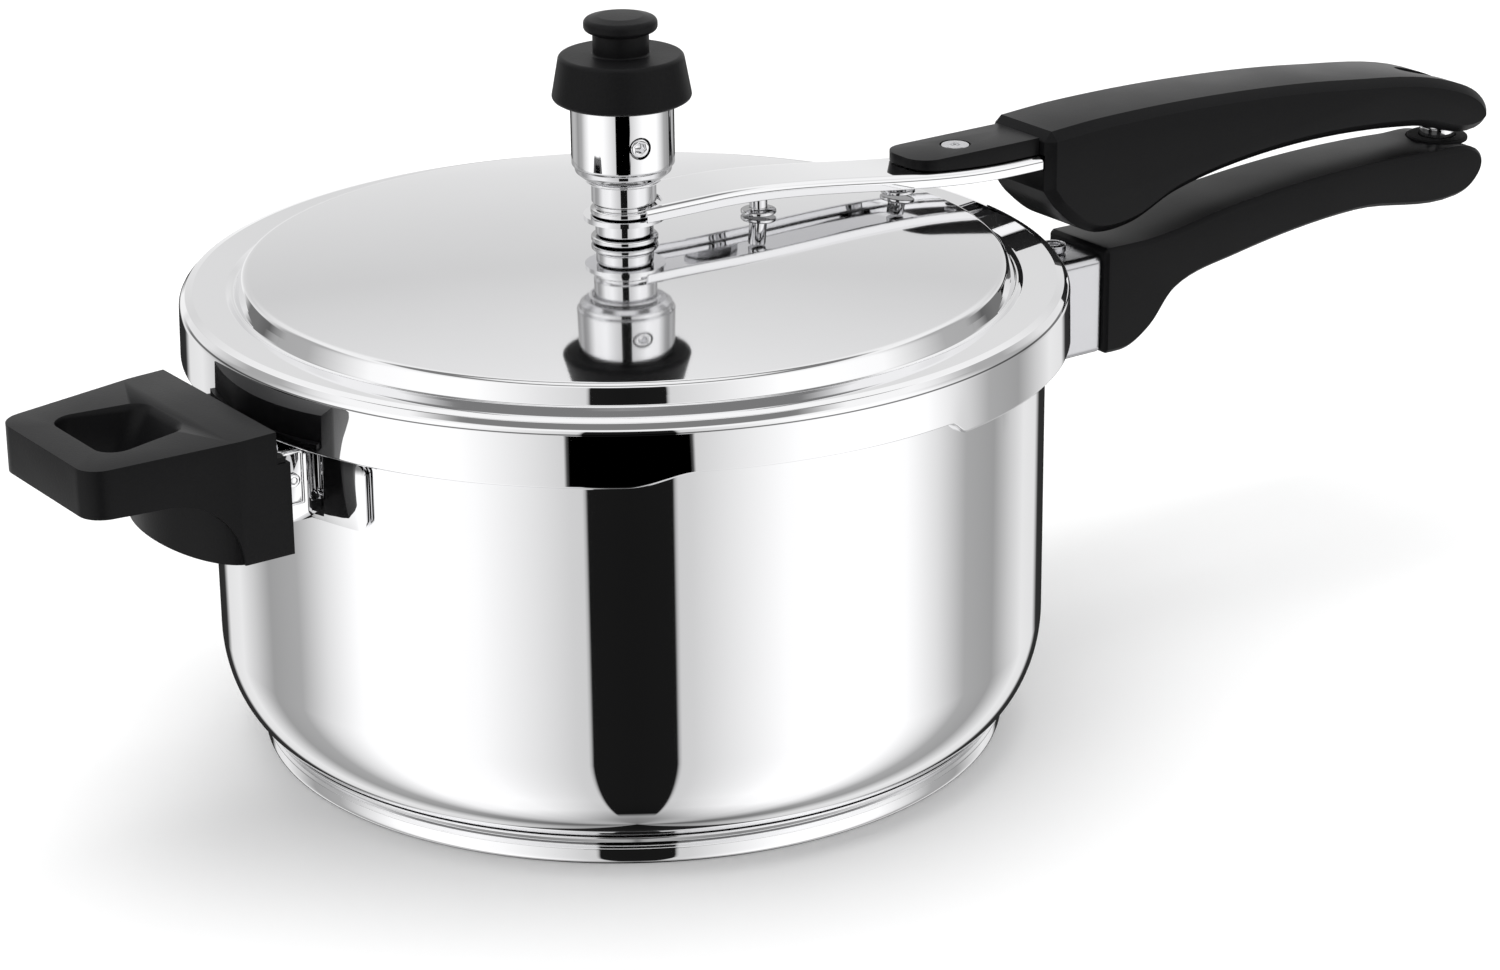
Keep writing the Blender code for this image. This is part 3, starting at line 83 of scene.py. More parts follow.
# ---------------------------------------------------------------- outlines


def rounded_path(points: list, closed: bool = False) -> list:
    """Rounds the corners of a path.

    Args:
        points: (a, b) or (a, b, radius) of each corner.
        closed: whether the last corner joins the first.

    Returns:
        (a, b) points, with an arc at each corner that has a radius.
    """
    corners = [Vector((p[0], p[1])) for p in points]
    radii = [p[2] if len(p) > 2 else 0.0 for p in points]
    path = []
    count = len(corners)
    for i, corner in enumerate(corners):
        is_end = not closed and i in (0, count - 1)
        if is_end or radii[i] == 0.0:
            path.append((corner.x, corner.y))
            continue
        before = corners[i - 1] - corner
        after = corners[(i + 1) % count] - corner
        half = before.angle(after) / 2
        turn = math.pi - 2 * half
        reach = min(radii[i] / math.tan(half), before.length * 0.49, after.length * 0.49)
        radius = reach * math.tan(half)
        middle = corner + (before.normalized() + after.normalized()).normalized() * (
            radius / math.sin(half)
        )
        start = corner + before.normalized() * reach
        steps = max(2, round(turn / ARC_STEP))
        spin = 1 if before.x * after.y - before.y * after.x < 0 else -1
        support = min(reach * 0.3, before.length * 0.02 + GAP / 2)
        lead = start + before.normalized() * support
        path.append((lead.x, lead.y))
        arm = start - middle
        for step in range(steps + 1):
            angle = spin * turn * step / steps
            x = arm.x * math.cos(angle) - arm.y * math.sin(angle)
            y = arm.x * math.sin(angle) + arm.y * math.cos(angle)
            path.append((middle.x + x, middle.y + y))
        tail = corner + after.normalized() * (reach + support)
        path.append((tail.x, tail.y))
    return path


def arc(centre: tuple, radii: tuple, start: float, end: float, steps: int) -> list:
    """Points on an ellipse's arc, with angles in degrees."""
    angles = [math.radians(start + (end - start) * i / steps) for i in range(steps + 1)]
    return [(centre[0] + radii[0] * math.cos(a), centre[1] + radii[1] * math.sin(a)) for a in angles]


def smooth_outline(points: list, steps: int = 8) -> list:
    """A closed outline that runs smoothly through its points.

    Args:
        points: (a, b) for a sharp corner, or (a, b, "round") for a smooth one.
        steps: straight runs between two neighbouring points.

    Returns:
        (a, b) points of the finer outline.
    """
    places = [Vector((p[0], p[1])) for p in points]
    is_round = [len(p) > 2 for p in points]
    count = len(places)
    tangents = []
    for i in range(count):
        before = places[i] - places[i - 1]
        after = places[(i + 1) % count] - places[i]
        mean = (before.normalized() + after.normalized()).normalized()
        tangents.append(mean)
    path = []
    for i in range(count):
        j = (i + 1) % count
        run = places[j] - places[i]
        if not is_round[i] and not is_round[j]:
            path.append(places[i])
            continue
        start = tangents[i] if is_round[i] else run.normalized()
        end = tangents[j] if is_round[j] else run.normalized()
        for step in range(steps):
            t = step / steps
            a, b = run.length * start, run.length * end
            path.append(
                places[i] * (2 * t**3 - 3 * t**2 + 1)
                + a * (t**3 - 2 * t**2 + t)
                + places[j] * (3 * t**2 - 2 * t**3)
                + b * (t**3 - t**2)
            )
    return [(p.x, p.y) for p in path]


# ---------------------------------------------------------------- meshes


def link(obj: bpy.types.Object) -> bpy.types.Object:
    """Puts an object in the scene."""
    bpy.context.scene.collection.objects.link(obj)
    return obj


def from_bmesh(name: str, shape: bmesh.types.BMesh) -> bpy.types.Object:
    """Turns a closed shape into an object with its faces pointing out."""
    bmesh.ops.remove_doubles(shape, verts=shape.verts, dist=WELD)
    bmesh.ops.recalc_face_normals(shape, faces=shape.faces)
    mesh = bpy.data.meshes.new(name)
    shape.to_mesh(mesh)
    shape.free()
    return link(bpy.data.objects.new(name, mesh))


def settle(obj: bpy.types.Object) -> bpy.types.Object:
    """Makes the evaluated shape the object's own mesh and drops its modifiers."""
    bpy.context.view_layer.update()
    graph = bpy.context.evaluated_depsgraph_get()
    mesh = bpy.data.meshes.new_from_object(obj.evaluated_get(graph))
    mesh.name = obj.name
    obj.modifiers.clear()
    obj.data = mesh
    return obj


def combine(
    obj: bpy.types.Object, other: bpy.types.Object, operation: str = "DIFFERENCE"
) -> bpy.types.Object:
    """Cuts, joins or intersects one shape with another, which is used up.

    Args:
        obj: the piece that stays.
        other: the shape that works on it.
        operation: DIFFERENCE, UNION or INTERSECT.

    Returns:
        The piece with its new mesh.
    """
    boolean = obj.modifiers.new("shape", "BOOLEAN")
    boolean.operation = operation
    boolean.solver = "EXACT"
    boolean.object = other
    settle(obj)
    bpy.data.objects.remove(other, do_unlink=True)
    return obj


def soften(obj: bpy.types.Object, width: float, segments: int = 3, angle: float = 35) -> bpy.types.Object:
    """Rounds the edges of a piece that are sharper than an angle in degrees."""
    bevel = obj.modifiers.new("edges", "BEVEL")
    bevel.width = width
    bevel.segments = segments
    bevel.limit_method = "ANGLE"
    bevel.angle_limit = math.radians(angle)
    bevel.harden_normals = False
    return settle(obj)


def place_mesh(obj: bpy.types.Object, matrix: Matrix) -> bpy.types.Object:
    """Moves a piece by moving its mesh."""
    obj.data.transform(matrix)
    return obj


def prism(name: str, outline: list, low: float, high: float, along: str = "Z") -> bpy.types.Object:
    """A closed outline made thick along an axis.

    Args:
        name: the piece's name.
        outline: (x, y) points along Z, (x, z) points along Y, (y, z) points along X.
        low: where the thickness starts.
        high: where it ends.
        along: the axis of the thickness.

    Returns:
        The closed piece.
    """
    place = {
        "Z": lambda a, b, c: (a, b, c),
        "Y": lambda a, b, c: (a, c, b),
        "X": lambda a, b, c: (c, a, b),
    }[along]
    shape = bmesh.new()
    rings = [[shape.verts.new(place(a, b, c)) for a, b in outline] for c in (low, high)]
    count = len(outline)
    shape.faces.new(rings[0])
    shape.faces.new(rings[1])
    for i in range(count):
        j = (i + 1) % count
        shape.faces.new((rings[0][i], rings[0][j], rings[1][j], rings[1][i]))
    return from_bmesh(name, shape)


def loft(name: str, rings: list) -> bpy.types.Object:
    """A closed skin through a row of rings that have the same number of points."""
    shape = bmesh.new()
    rows = [[shape.verts.new(point) for point in ring] for ring in rings]
    for near, far in zip(rows, rows[1:]):
        for i in range(len(near)):
            j = (i + 1) % len(near)
            shape.faces.new((near[i], near[j], far[j], far[i]))
    shape.faces.new(rows[0])
    shape.faces.new(rows[-1])
    return from_bmesh(name, shape)


def rod(name: str, radius: float, low: float, high: float, place: Matrix | None = None) -> bpy.types.Object:
    """A plain upright rod, which is only used to cut or to join."""
    outline = arc((0.0, 0.0), (radius, radius), 0, 360 * (1 - 1 / MEDIUM_STEPS), MEDIUM_STEPS - 1)
    obj = prism(name, outline, low, high)
    return place_mesh(obj, place) if place else obj


def rectangle(low: tuple, high: tuple, corner: float) -> list:
    """A rectangle's outline with round corners."""
    sides = ((low[0], low[1]), (high[0], low[1]), (high[0], high[1]), (low[0], high[1]))
    return rounded_path([(*side, corner) for side in sides], closed=True)


def upright(node: str) -> tuple:
    """Middle along X, radius, lowest and highest height of an upright round CAD node."""
    low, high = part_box(node)
    return (low[0] + high[0]) / 2, (high[0] - low[0]) / 2, low[2], high[2]


def along_x(x: float) -> Matrix:
    """A place on the handles' line."""
    return Matrix.Translation((x, 0.0, 0.0))


# ---------------------------------------------------------------- geometry nodes


class NodeTree:
    """Short ways to add and join nodes."""

    def __init__(self, tree: bpy.types.NodeTree) -> None:
        self.tree = tree

    def add(self, kind: str, *feeds: object, **options: object) -> bpy.types.Node:
        """Adds a node.

        Args:
            kind: the node's type name.
            feeds: what goes into its sockets in order; None leaves a socket as it is.
            options: properties of the node.

        Returns:
            The new node.
        """
        node = self.tree.nodes.new(kind)
        for name, value in options.items():
            setattr(node, name, value)
        for socket, feed in zip(node.inputs, feeds):
            self.feed(socket, feed)
        return node

    def feed(self, socket: bpy.types.NodeSocket, value: object) -> None:
        """Joins a socket to another one, or sets its value."""
        if isinstance(value, bpy.types.NodeSocket):
            self.tree.links.new(value, socket)
        elif value is not None:
            socket.default_value = value

    def math(self, operation: str, *feeds: object) -> bpy.types.NodeSocket:
        """A Math node's result."""
        return self.add("ShaderNodeMath", *feeds, operation=operation).outputs[0]

    def blend(self, share: object, first: object, second: object, kind: str = "MIX") -> bpy.types.NodeSocket:
        """Two colours mixed, or multiplied, by a share."""
        node = self.add("ShaderNodeMix", data_type="RGBA", blend_type=kind)
        self.feed(node.inputs["Factor"], share)
        self.feed(node.inputs[6], first)
        self.feed(node.inputs[7], second)
        return node.outputs[2]

    def bump(self, shader: bpy.types.Node, strength: float, distance: float, height: object) -> None:
        """Raises a shader's surface by a height."""
        node = self.add("ShaderNodeBump")
        self.feed(node.inputs["Strength"], strength)
        self.feed(node.inputs["Distance"], distance)
        self.feed(node.inputs["Height"], height)
        self.feed(shader.inputs["Normal"], node.outputs[0])

    def give(self, geometry: bpy.types.NodeSocket, material: bpy.types.NodeSocket) -> None:
        """Ends a geometry tree with real geometry in its material."""
        whole = self.add("GeometryNodeRealizeInstances", geometry)
        dressed = self.add("GeometryNodeSetMaterial", whole.outputs[0])
        self.feed(dressed.inputs["Material"], material)
        self.add("NodeGroupOutput", dressed.outputs[0])


def new_socket(tree: bpy.types.NodeTree, name: str, kind: str, output: bool = False) -> str:
    """Adds a socket to a group and returns its identifier."""
    side = "OUTPUT" if output else "INPUT"
    return tree.interface.new_socket(name=name, in_out=side, socket_type=kind).identifier


class TurnedTree:
    """The node tree that turns a profile round the pot's axis."""

    def __init__(self) -> None:
        self.tree = bpy.data.node_groups.new("turned_piece", "GeometryNodeTree")
        self.sockets = {
            "profile": new_socket(self.tree, "Profile", "NodeSocketGeometry"),
            "steps": new_socket(self.tree, "Steps", "NodeSocketInt"),
            "points": new_socket(self.tree, "Profile Points", "NodeSocketInt"),
            "material": new_socket(self.tree, "Material", "NodeSocketMaterial"),
        }
        new_socket(self.tree, "Piece", "NodeSocketGeometry", output=True)
        self.build()

    def build(self) -> None:
        """Lays a grid whose rows follow the profile and whose columns go round."""
        nodes = NodeTree(self.tree)
        given = nodes.add("NodeGroupInput").outputs
        columns = nodes.math("ADD", given["Steps"], 1.0)
        grid = nodes.add("GeometryNodeMeshGrid", 1.0, 1.0, columns, given["Profile Points"])
        index = nodes.add("GeometryNodeInputIndex").outputs[0]
        row = nodes.math("FLOORED_MODULO", index, given["Profile Points"])
        column = nodes.math("FLOOR", nodes.math("DIVIDE", index, given["Profile Points"]))
        sample = nodes.add("GeometryNodeSampleIndex", data_type="FLOAT_VECTOR")
        nodes.feed(sample.inputs["Geometry"], given["Profile"])
        nodes.feed(sample.inputs["Value"], nodes.add("GeometryNodeInputPosition").outputs[0])
        nodes.feed(sample.inputs["Index"], row)
        angle = nodes.math("MULTIPLY", nodes.math("DIVIDE", column, given["Steps"]), math.tau)
        turn = nodes.add("ShaderNodeVectorRotate", rotation_type="Z_AXIS")
        nodes.feed(turn.inputs["Vector"], sample.outputs["Value"])
        nodes.feed(turn.inputs["Angle"], angle)
        moved = nodes.add("GeometryNodeSetPosition", grid.outputs["Mesh"])
        nodes.feed(moved.inputs["Position"], turn.outputs[0])
        merged = nodes.add("GeometryNodeMergeByDistance", moved.outputs[0])
        nodes.feed(merged.inputs["Distance"], WELD)
        nodes.give(merged.outputs[0], given["Material"])

    def make(self, name: str, path: list, steps: int, finish: bpy.types.Material) -> bpy.types.Object:
        """Turns a profile.

        Args:
            name: the piece's name.
            path: (radius, height) points.
            steps: how many columns go round.
            finish: the piece's material.

        Returns:
            The piece, as a plain mesh.
        """
        shape = bmesh.new()
        for radius, height in path:
            shape.verts.new((radius, 0.0, height))
        mesh = bpy.data.meshes.new(name)
        shape.to_mesh(mesh)
        shape.free()
        obj = link(bpy.data.objects.new(name, mesh))
        modifier = obj.modifiers.new("turned", "NODES")
        modifier.node_group = self.tree
        modifier[self.sockets["steps"]] = steps
        modifier[self.sockets["points"]] = len(path)
        modifier[self.sockets["material"]] = finish
        settle(obj)
        shape = bmesh.new()
        shape.from_mesh(obj.data)
        bmesh.ops.recalc_face_normals(shape, faces=shape.faces)
        shape.to_mesh(obj.data)
        shape.free()
        return obj


class HeadTree:
    """The node tree that sets screw and rivet heads on a row of places."""

    def __init__(self) -> None:
        self.tree = bpy.data.node_groups.new("fastener_heads", "GeometryNodeTree")
        names = ("Radius", "Height", "Recess Radius", "Recess Depth")
        self.sockets = {"places": new_socket(self.tree, "Places", "NodeSocketGeometry")}
        for name in names:
            self.sockets[name] = new_socket(self.tree, name, "NodeSocketFloat")
        self.sockets["sides"] = new_socket(self.tree, "Recess Sides", "NodeSocketInt")
        self.sockets["seed"] = new_socket(self.tree, "Seed", "NodeSocketInt")
        self.sockets["material"] = new_socket(self.tree, "Material", "NodeSocketMaterial")
        new_socket(self.tree, "Heads", "NodeSocketGeometry", output=True)
        self.build()

    def build(self) -> None:
        """Makes one head, sets it on each place with its own small turn, and joins them."""
        nodes = NodeTree(self.tree)
        given = nodes.add("NodeGroupInput").outputs
        body = nodes.add("GeometryNodeMeshCylinder", SMALL_STEPS, 1, 1, given["Radius"], given["Height"])
        middle = nodes.math("MULTIPLY", given["Height"], 0.5)
        lift = nodes.add("ShaderNodeCombineXYZ", None, None, middle)
        raised = nodes.add("GeometryNodeTransform", body.outputs["Mesh"])
        nodes.feed(raised.inputs["Translation"], lift.outputs[0])
        depth = nodes.math("MULTIPLY", given["Recess Depth"], 2.0)
        hex_pit = nodes.add("GeometryNodeMeshCylinder", given["Recess Sides"], 1, 1)
        nodes.feed(hex_pit.inputs["Radius"], given["Recess Radius"])
        nodes.feed(hex_pit.inputs["Depth"], depth)
        top = nodes.add("ShaderNodeCombineXYZ", None, None, given["Height"])
        sunk = nodes.add("GeometryNodeTransform", hex_pit.outputs["Mesh"])
        nodes.feed(sunk.inputs["Translation"], top.outputs[0])
        cut = nodes.add("GeometryNodeMeshBoolean", operation="DIFFERENCE", solver="EXACT")
        nodes.feed(cut.inputs[0], raised.outputs[0])
        nodes.feed(cut.inputs[1], sunk.outputs[0])
        places = nodes.add("GeometryNodeMeshToPoints", given["Places"])
        normal = nodes.add("GeometryNodeInputNamedAttribute", data_type="FLOAT_VECTOR")
        nodes.feed(normal.inputs["Name"], "facing")
        lean = nodes.add("FunctionNodeAlignRotationToVector", axis="Z")
        nodes.feed(lean.inputs["Vector"], normal.outputs[0])
        spin = nodes.add("FunctionNodeRandomValue", data_type="FLOAT")
        spin.inputs[2].default_value = 0.0
        spin.inputs[3].default_value = math.tau
        nodes.feed(spin.inputs["Seed"], given["Seed"])
        turn = nodes.add("ShaderNodeCombineXYZ", None, None, spin.outputs[1])
        copies = nodes.add("GeometryNodeInstanceOnPoints", places.outputs[0])
        nodes.feed(copies.inputs["Instance"], cut.outputs[0])
        nodes.feed(copies.inputs["Rotation"], lean.outputs[0])
        turned = nodes.add("GeometryNodeRotateInstances", copies.outputs[0])
        nodes.feed(turned.inputs["Rotation"], turn.outputs[0])
        nodes.give(turned.outputs[0], given["Material"])

    def make(self, name: str, places: list, head: "Head", finish: bpy.types.Material) -> bpy.types.Object:
        """Sets heads on places.

        Args:
            name: the piece's name.
            places: (point, outward direction) of each head.
            head: the head's sizes.
            finish: the heads' material.

        Returns:
            One plain mesh with every head.
        """
        mesh = bpy.data.meshes.new(name)
        mesh.from_pydata([point for point, _ in places], [], [])
        facing = mesh.attributes.new("facing", "FLOAT_VECTOR", "POINT")
        for item, (_, direction) in zip(facing.data, places):
            item.vector = direction
        obj = link(bpy.data.objects.new(name, mesh))
        modifier = obj.modifiers.new("heads", "NODES")
        modifier.node_group = self.tree
        sizes = {
            "Radius": head.radius,
            "Height": head.height,
            "Recess Radius": head.recess_radius,
            "Recess Depth": head.recess_depth,
        }
        for label, value in sizes.items():
            modifier[self.sockets[label]] = value
        modifier[self.sockets["sides"]] = head.sides
        modifier[self.sockets["seed"]] = HEAD_SEED
        modifier[self.sockets["material"]] = finish
        settle(obj)
        return soften(obj, head.edge, 3, 40)


class RingTree:
    """The node tree that bends wire into an open ring."""

    def __init__(self) -> None:
        self.tree = bpy.data.node_groups.new("wire_ring", "GeometryNodeTree")
        names = ("Ring Radius", "Wire Radius", "Height", "Sweep", "Start")
        self.sockets = {"base": new_socket(self.tree, "Base", "NodeSocketGeometry")}
        for name in names:
            self.sockets[name] = new_socket(self.tree, name, "NodeSocketFloat")
        self.sockets["material"] = new_socket(self.tree, "Material", "NodeSocketMaterial")
        new_socket(self.tree, "Ring", "NodeSocketGeometry", output=True)
        self.build()

    def build(self) -> None:
        """Sweeps a round wire along an arc and lifts it to its height."""
        nodes = NodeTree(self.tree)
        given = nodes.add("NodeGroupInput").outputs
        bend = nodes.add("GeometryNodeCurveArc", MEDIUM_STEPS)
        for name in ("Radius", "Start Angle", "Sweep Angle"):
            source = {"Radius": "Ring Radius", "Start Angle": "Start", "Sweep Angle": "Sweep"}[name]
            socket = [s for s in bend.inputs if s.name == name and s.enabled][0]
            nodes.feed(socket, given[source])
        section = nodes.add("GeometryNodeCurvePrimitiveCircle", WIRE_SIDES)
        nodes.feed([s for s in section.inputs if s.name == "Radius"][0], given["Wire Radius"])
        wire = nodes.add("GeometryNodeCurveToMesh", bend.outputs[0], section.outputs[0])
        nodes.feed(wire.inputs["Fill Caps"], True)
        lift = nodes.add("ShaderNodeCombineXYZ", None, None, given["Height"])
        raised = nodes.add("GeometryNodeTransform", wire.outputs[0])
        nodes.feed(raised.inputs["Translation"], lift.outputs[0])
        nodes.give(raised.outputs[0], given["Material"])

    def make(self, name: str, ring: "WireRing", finish: bpy.types.Material) -> bpy.types.Object:
        """Bends one ring of wire and returns it as a plain mesh."""
        mesh = bpy.data.meshes.new(name)
        obj = link(bpy.data.objects.new(name, mesh))
        modifier = obj.modifiers.new("wire", "NODES")
        modifier.node_group = self.tree
        sizes = {
            "Ring Radius": ring.radius,
            "Wire Radius": ring.wire,
            "Height": ring.height,
            "Start": math.radians(ring.start),
            "Sweep": math.radians(ring.sweep),
        }
        for label, value in sizes.items():
            modifier[self.sockets[label]] = value
        modifier[self.sockets["material"]] = finish
        settle(obj)
        shape = bmesh.new()
        shape.from_mesh(obj.data)
        bmesh.ops.remove_doubles(shape, verts=shape.verts, dist=WELD)
        bmesh.ops.recalc_face_normals(shape, faces=shape.faces)
        shape.to_mesh(obj.data)
        shape.free()
        return obj


@dataclass(frozen=True)
class Head:
    """Sizes of a screw's or a rivet's head."""

    radius: float
    height: float
    recess_radius: float
    recess_depth: float
    edge: float = 0.0004
    sides: int = 6


@dataclass(frozen=True)
class WireRing:
    """Sizes of an open ring of wire, with its angles in degrees."""

    radius: float
    wire: float
    height: float
    start: float
    sweep: float


# ---------------------------------------------------------------- finishes


class VariationGroup:
    """A value that drifts over the surface, for handling marks and uneven polish."""

    def __init__(self) -> None:
        self.tree = bpy.data.node_groups.new("uneven_surface", "ShaderNodeTree")
        for name in ("Scale", "Low", "High", "Seed"):
            new_socket(self.tree, name, "NodeSocketFloat")
        new_socket(self.tree, "Value", "NodeSocketFloat", output=True)
        nodes = NodeTree(self.tree)
        given = nodes.add("NodeGroupInput").outputs
        place = nodes.add("ShaderNodeTexCoord").outputs["Object"]
        noise = nodes.add("ShaderNodeTexNoise", noise_dimensions="4D")
        nodes.feed(noise.inputs["Vector"], place)
        nodes.feed(noise.inputs["W"], given["Seed"])
        nodes.feed(noise.inputs["Scale"], given["Scale"])
        nodes.feed(noise.inputs["Detail"], 4.0)
        spread = nodes.add("ShaderNodeMapRange", noise.outputs["Fac"], 0.3, 0.7)
        nodes.feed(spread.inputs["To Min"], given["Low"])
        nodes.feed(spread.inputs["To Max"], given["High"])
        nodes.add("NodeGroupOutput", spread.outputs[0])


class TurningGroup:
    """Fine lines left by a lathe: rings on flat faces and bands round walls."""

    def __init__(self) -> None:
        self.tree = bpy.data.node_groups.new("turning_lines", "ShaderNodeTree")
        for name in ("Lines per Metre", "Streaks"):
            new_socket(self.tree, name, "NodeSocketFloat")
        new_socket(self.tree, "Height", "NodeSocketFloat", output=True)
        nodes = NodeTree(self.tree)
        given = nodes.add("NodeGroupInput").outputs
        place = nodes.add("ShaderNodeTexCoord").outputs["Object"]
        split = nodes.add("ShaderNodeSeparateXYZ", place).outputs
        squares = nodes.math("ADD", nodes.math("POWER", split[0], 2.0), nodes.math("POWER", split[1], 2.0))
        radius = nodes.math("SQRT", squares)
        line = nodes.math("ADD", radius, split[2])
        rings = nodes.math("MULTIPLY", line, given["Lines per Metre"])
        around = nodes.math("ARCTAN2", split[1], split[0])
        spot = nodes.add("ShaderNodeCombineXYZ", rings, nodes.math("MULTIPLY", around, given["Streaks"]))
        noise = nodes.add("ShaderNodeTexNoise")
        nodes.feed(noise.inputs["Vector"], spot.outputs[0])
        nodes.feed(noise.inputs["Scale"], 1.0)
        nodes.feed(noise.inputs["Detail"], 2.0)
        nodes.add("NodeGroupOutput", noise.outputs["Fac"])


class GrainGroup:
    """The fine grain of a moulded part."""

    def __init__(self) -> None:
        self.tree = bpy.data.node_groups.new("moulded_grain", "ShaderNodeTree")
        for name in ("Scale", "Pits"):
            new_socket(self.tree, name, "NodeSocketFloat")
        for name in ("Height", "Speckle"):
            new_socket(self.tree, name, "NodeSocketFloat", output=True)
        nodes = NodeTree(self.tree)
        given = nodes.add("NodeGroupInput").outputs
        place = nodes.add("ShaderNodeTexCoord").outputs["Object"]
        noise = nodes.add("ShaderNodeTexNoise")
        nodes.feed(noise.inputs["Vector"], place)
        nodes.feed(noise.inputs["Scale"], given["Scale"])
        nodes.feed(noise.inputs["Detail"], 5.0)
        cells = nodes.add("ShaderNodeTexVoronoi")
        nodes.feed(cells.inputs["Vector"], place)
        nodes.feed(cells.inputs["Scale"], nodes.math("MULTIPLY", given["Scale"], 0.6))
        pits = nodes.math("MULTIPLY", cells.outputs["Distance"], given["Pits"])
        height = nodes.math("SUBTRACT", noise.outputs["Fac"], pits)
        nodes.add("NodeGroupOutput", height, noise.outputs["Fac"])


@dataclass(frozen=True)
class Metal:
    """A bare metal finish.

    Args:
        colour: its reflection colour.
        smooth: roughness where it is best polished.
        dull: roughness where it is most handled.
        lines: height of the lathe's lines in metres, or 0 for none.
        lines_per_metre: how close the lines are.
        drift: how far its tone wanders.
        rim: painted shade, how much darker its colour is painted where it turns away from the camera.
    """

    name: str
    colour: tuple
    smooth: float
    dull: float
    lines: float = 0.0
    lines_per_metre: float = 4000.0
    drift: float = 0.04
    rim: float = 0.0

    def make(self, library: "Library") -> bpy.types.Material:
        """Builds the material from the shared groups."""
        made, nodes, shader = library.start(self.name)
        shader.inputs["Metallic"].default_value = 1.0
        uneven = library.use(nodes, library.variation, Scale=28.0, Low=self.smooth, High=self.dull, Seed=1.0)
        nodes.feed(shader.inputs["Roughness"], uneven.outputs[0])
        tint = library.use(nodes, library.variation, Scale=9.0, Low=1 - self.drift, High=1.0, Seed=4.0)
        colour = nodes.blend(1.0, (*self.colour, 1.0), tint.outputs[0], "MULTIPLY")
        # Painted shade: the colour is darkened where the surface turns away from the camera, standing in for
        # dark reflections at the edges.
        if self.rim:
            facing = nodes.add("ShaderNodeLayerWeight").outputs["Facing"]
            painted_edge_shade = nodes.add("ShaderNodeMapRange", facing, 0.45, 0.85, 1.0, 1.0 - self.rim)
            colour = nodes.blend(1.0, colour, painted_edge_shade.outputs[0], "MULTIPLY")
        nodes.feed(shader.inputs["Base Color"], colour)
        if self.lines:
            values = {"Lines per Metre": self.lines_per_metre, "Streaks": 3.0}
            turning = library.use(nodes, library.turning, **values)
            nodes.bump(shader, 1.0, self.lines, turning.outputs[0])
        return made


@dataclass(frozen=True)
class SpunLid:
    """Polished steel whose dome is spun to a softer shine inside its groove."""

    name: str
    colour: tuple
    dome_colour: tuple
    dome_radius: float
    smooth: float
    dome_dull: float

    def make(self, library: "Library") -> bpy.types.Material:
        """Builds the material, with a mask from the distance to the lid's middle."""
        made, nodes, shader = library.start(self.name)
        shader.inputs["Metallic"].default_value = 1.0
        place = nodes.add("ShaderNodeTexCoord").outputs["Object"]
        flat = nodes.add("ShaderNodeVectorMath", place, (1.0, 1.0, 0.0), operation="MULTIPLY")
        radius = nodes.add("ShaderNodeVectorMath", flat.outputs[0], operation="LENGTH").outputs["Value"]
        edge = self.dome_radius
        mask = nodes.add("ShaderNodeMapRange", radius, edge - 0.0015, edge + 0.0005, 1.0, 0.0)
        tint = library.use(nodes, library.variation, Scale=14.0, Low=0.97, High=1.0, Seed=2.0)
        colour = nodes.blend(mask.outputs[0], (*self.colour, 1.0), (*self.dome_colour, 1.0))
        colour = nodes.blend(1.0, colour, tint.outputs[0], "MULTIPLY")
        nodes.feed(shader.inputs["Base Color"], colour)
        rough = nodes.add("ShaderNodeMapRange", mask.outputs[0], 0.0, 1.0, self.smooth, self.dome_dull)
        nodes.feed(shader.inputs["Roughness"], rough.outputs[0])
        turning = library.use(nodes, library.turning, **{"Lines per Metre": 2600.0, "Streaks": 2.0})
        height = nodes.math("MULTIPLY", turning.outputs[0], mask.outputs[0])
        nodes.bump(shader, 0.35, 0.000004, height)
        return made


@dataclass(frozen=True)
class Moulding:
    """A black moulded finish, in resin or rubber."""

    name: str
    colour: tuple
    worn_colour: tuple
    smooth: float
    dull: float
    specular: float
    grain: float
    grain_scale: float

    def make(self, library: "Library") -> bpy.types.Material:
        """Builds the material: grain in the height, drift in the shine and a faint speckle."""
        made, nodes, shader = library.start(self.name)
        shader.inputs["Specular IOR Level"].default_value = self.specular
        uneven = library.use(nodes, library.variation, Scale=35.0, Low=self.smooth, High=self.dull, Seed=3.0)
        nodes.feed(shader.inputs["Roughness"], uneven.outputs[0])
        grain = library.use(nodes, library.grain, Scale=self.grain_scale, Pits=0.5)
        colour = nodes.blend(grain.outputs["Speckle"], (*self.colour, 1.0), (*self.worn_colour, 1.0))
        nodes.feed(shader.inputs["Base Color"], colour)
        nodes.bump(shader, 0.5, self.grain, grain.outputs["Height"])
        return made


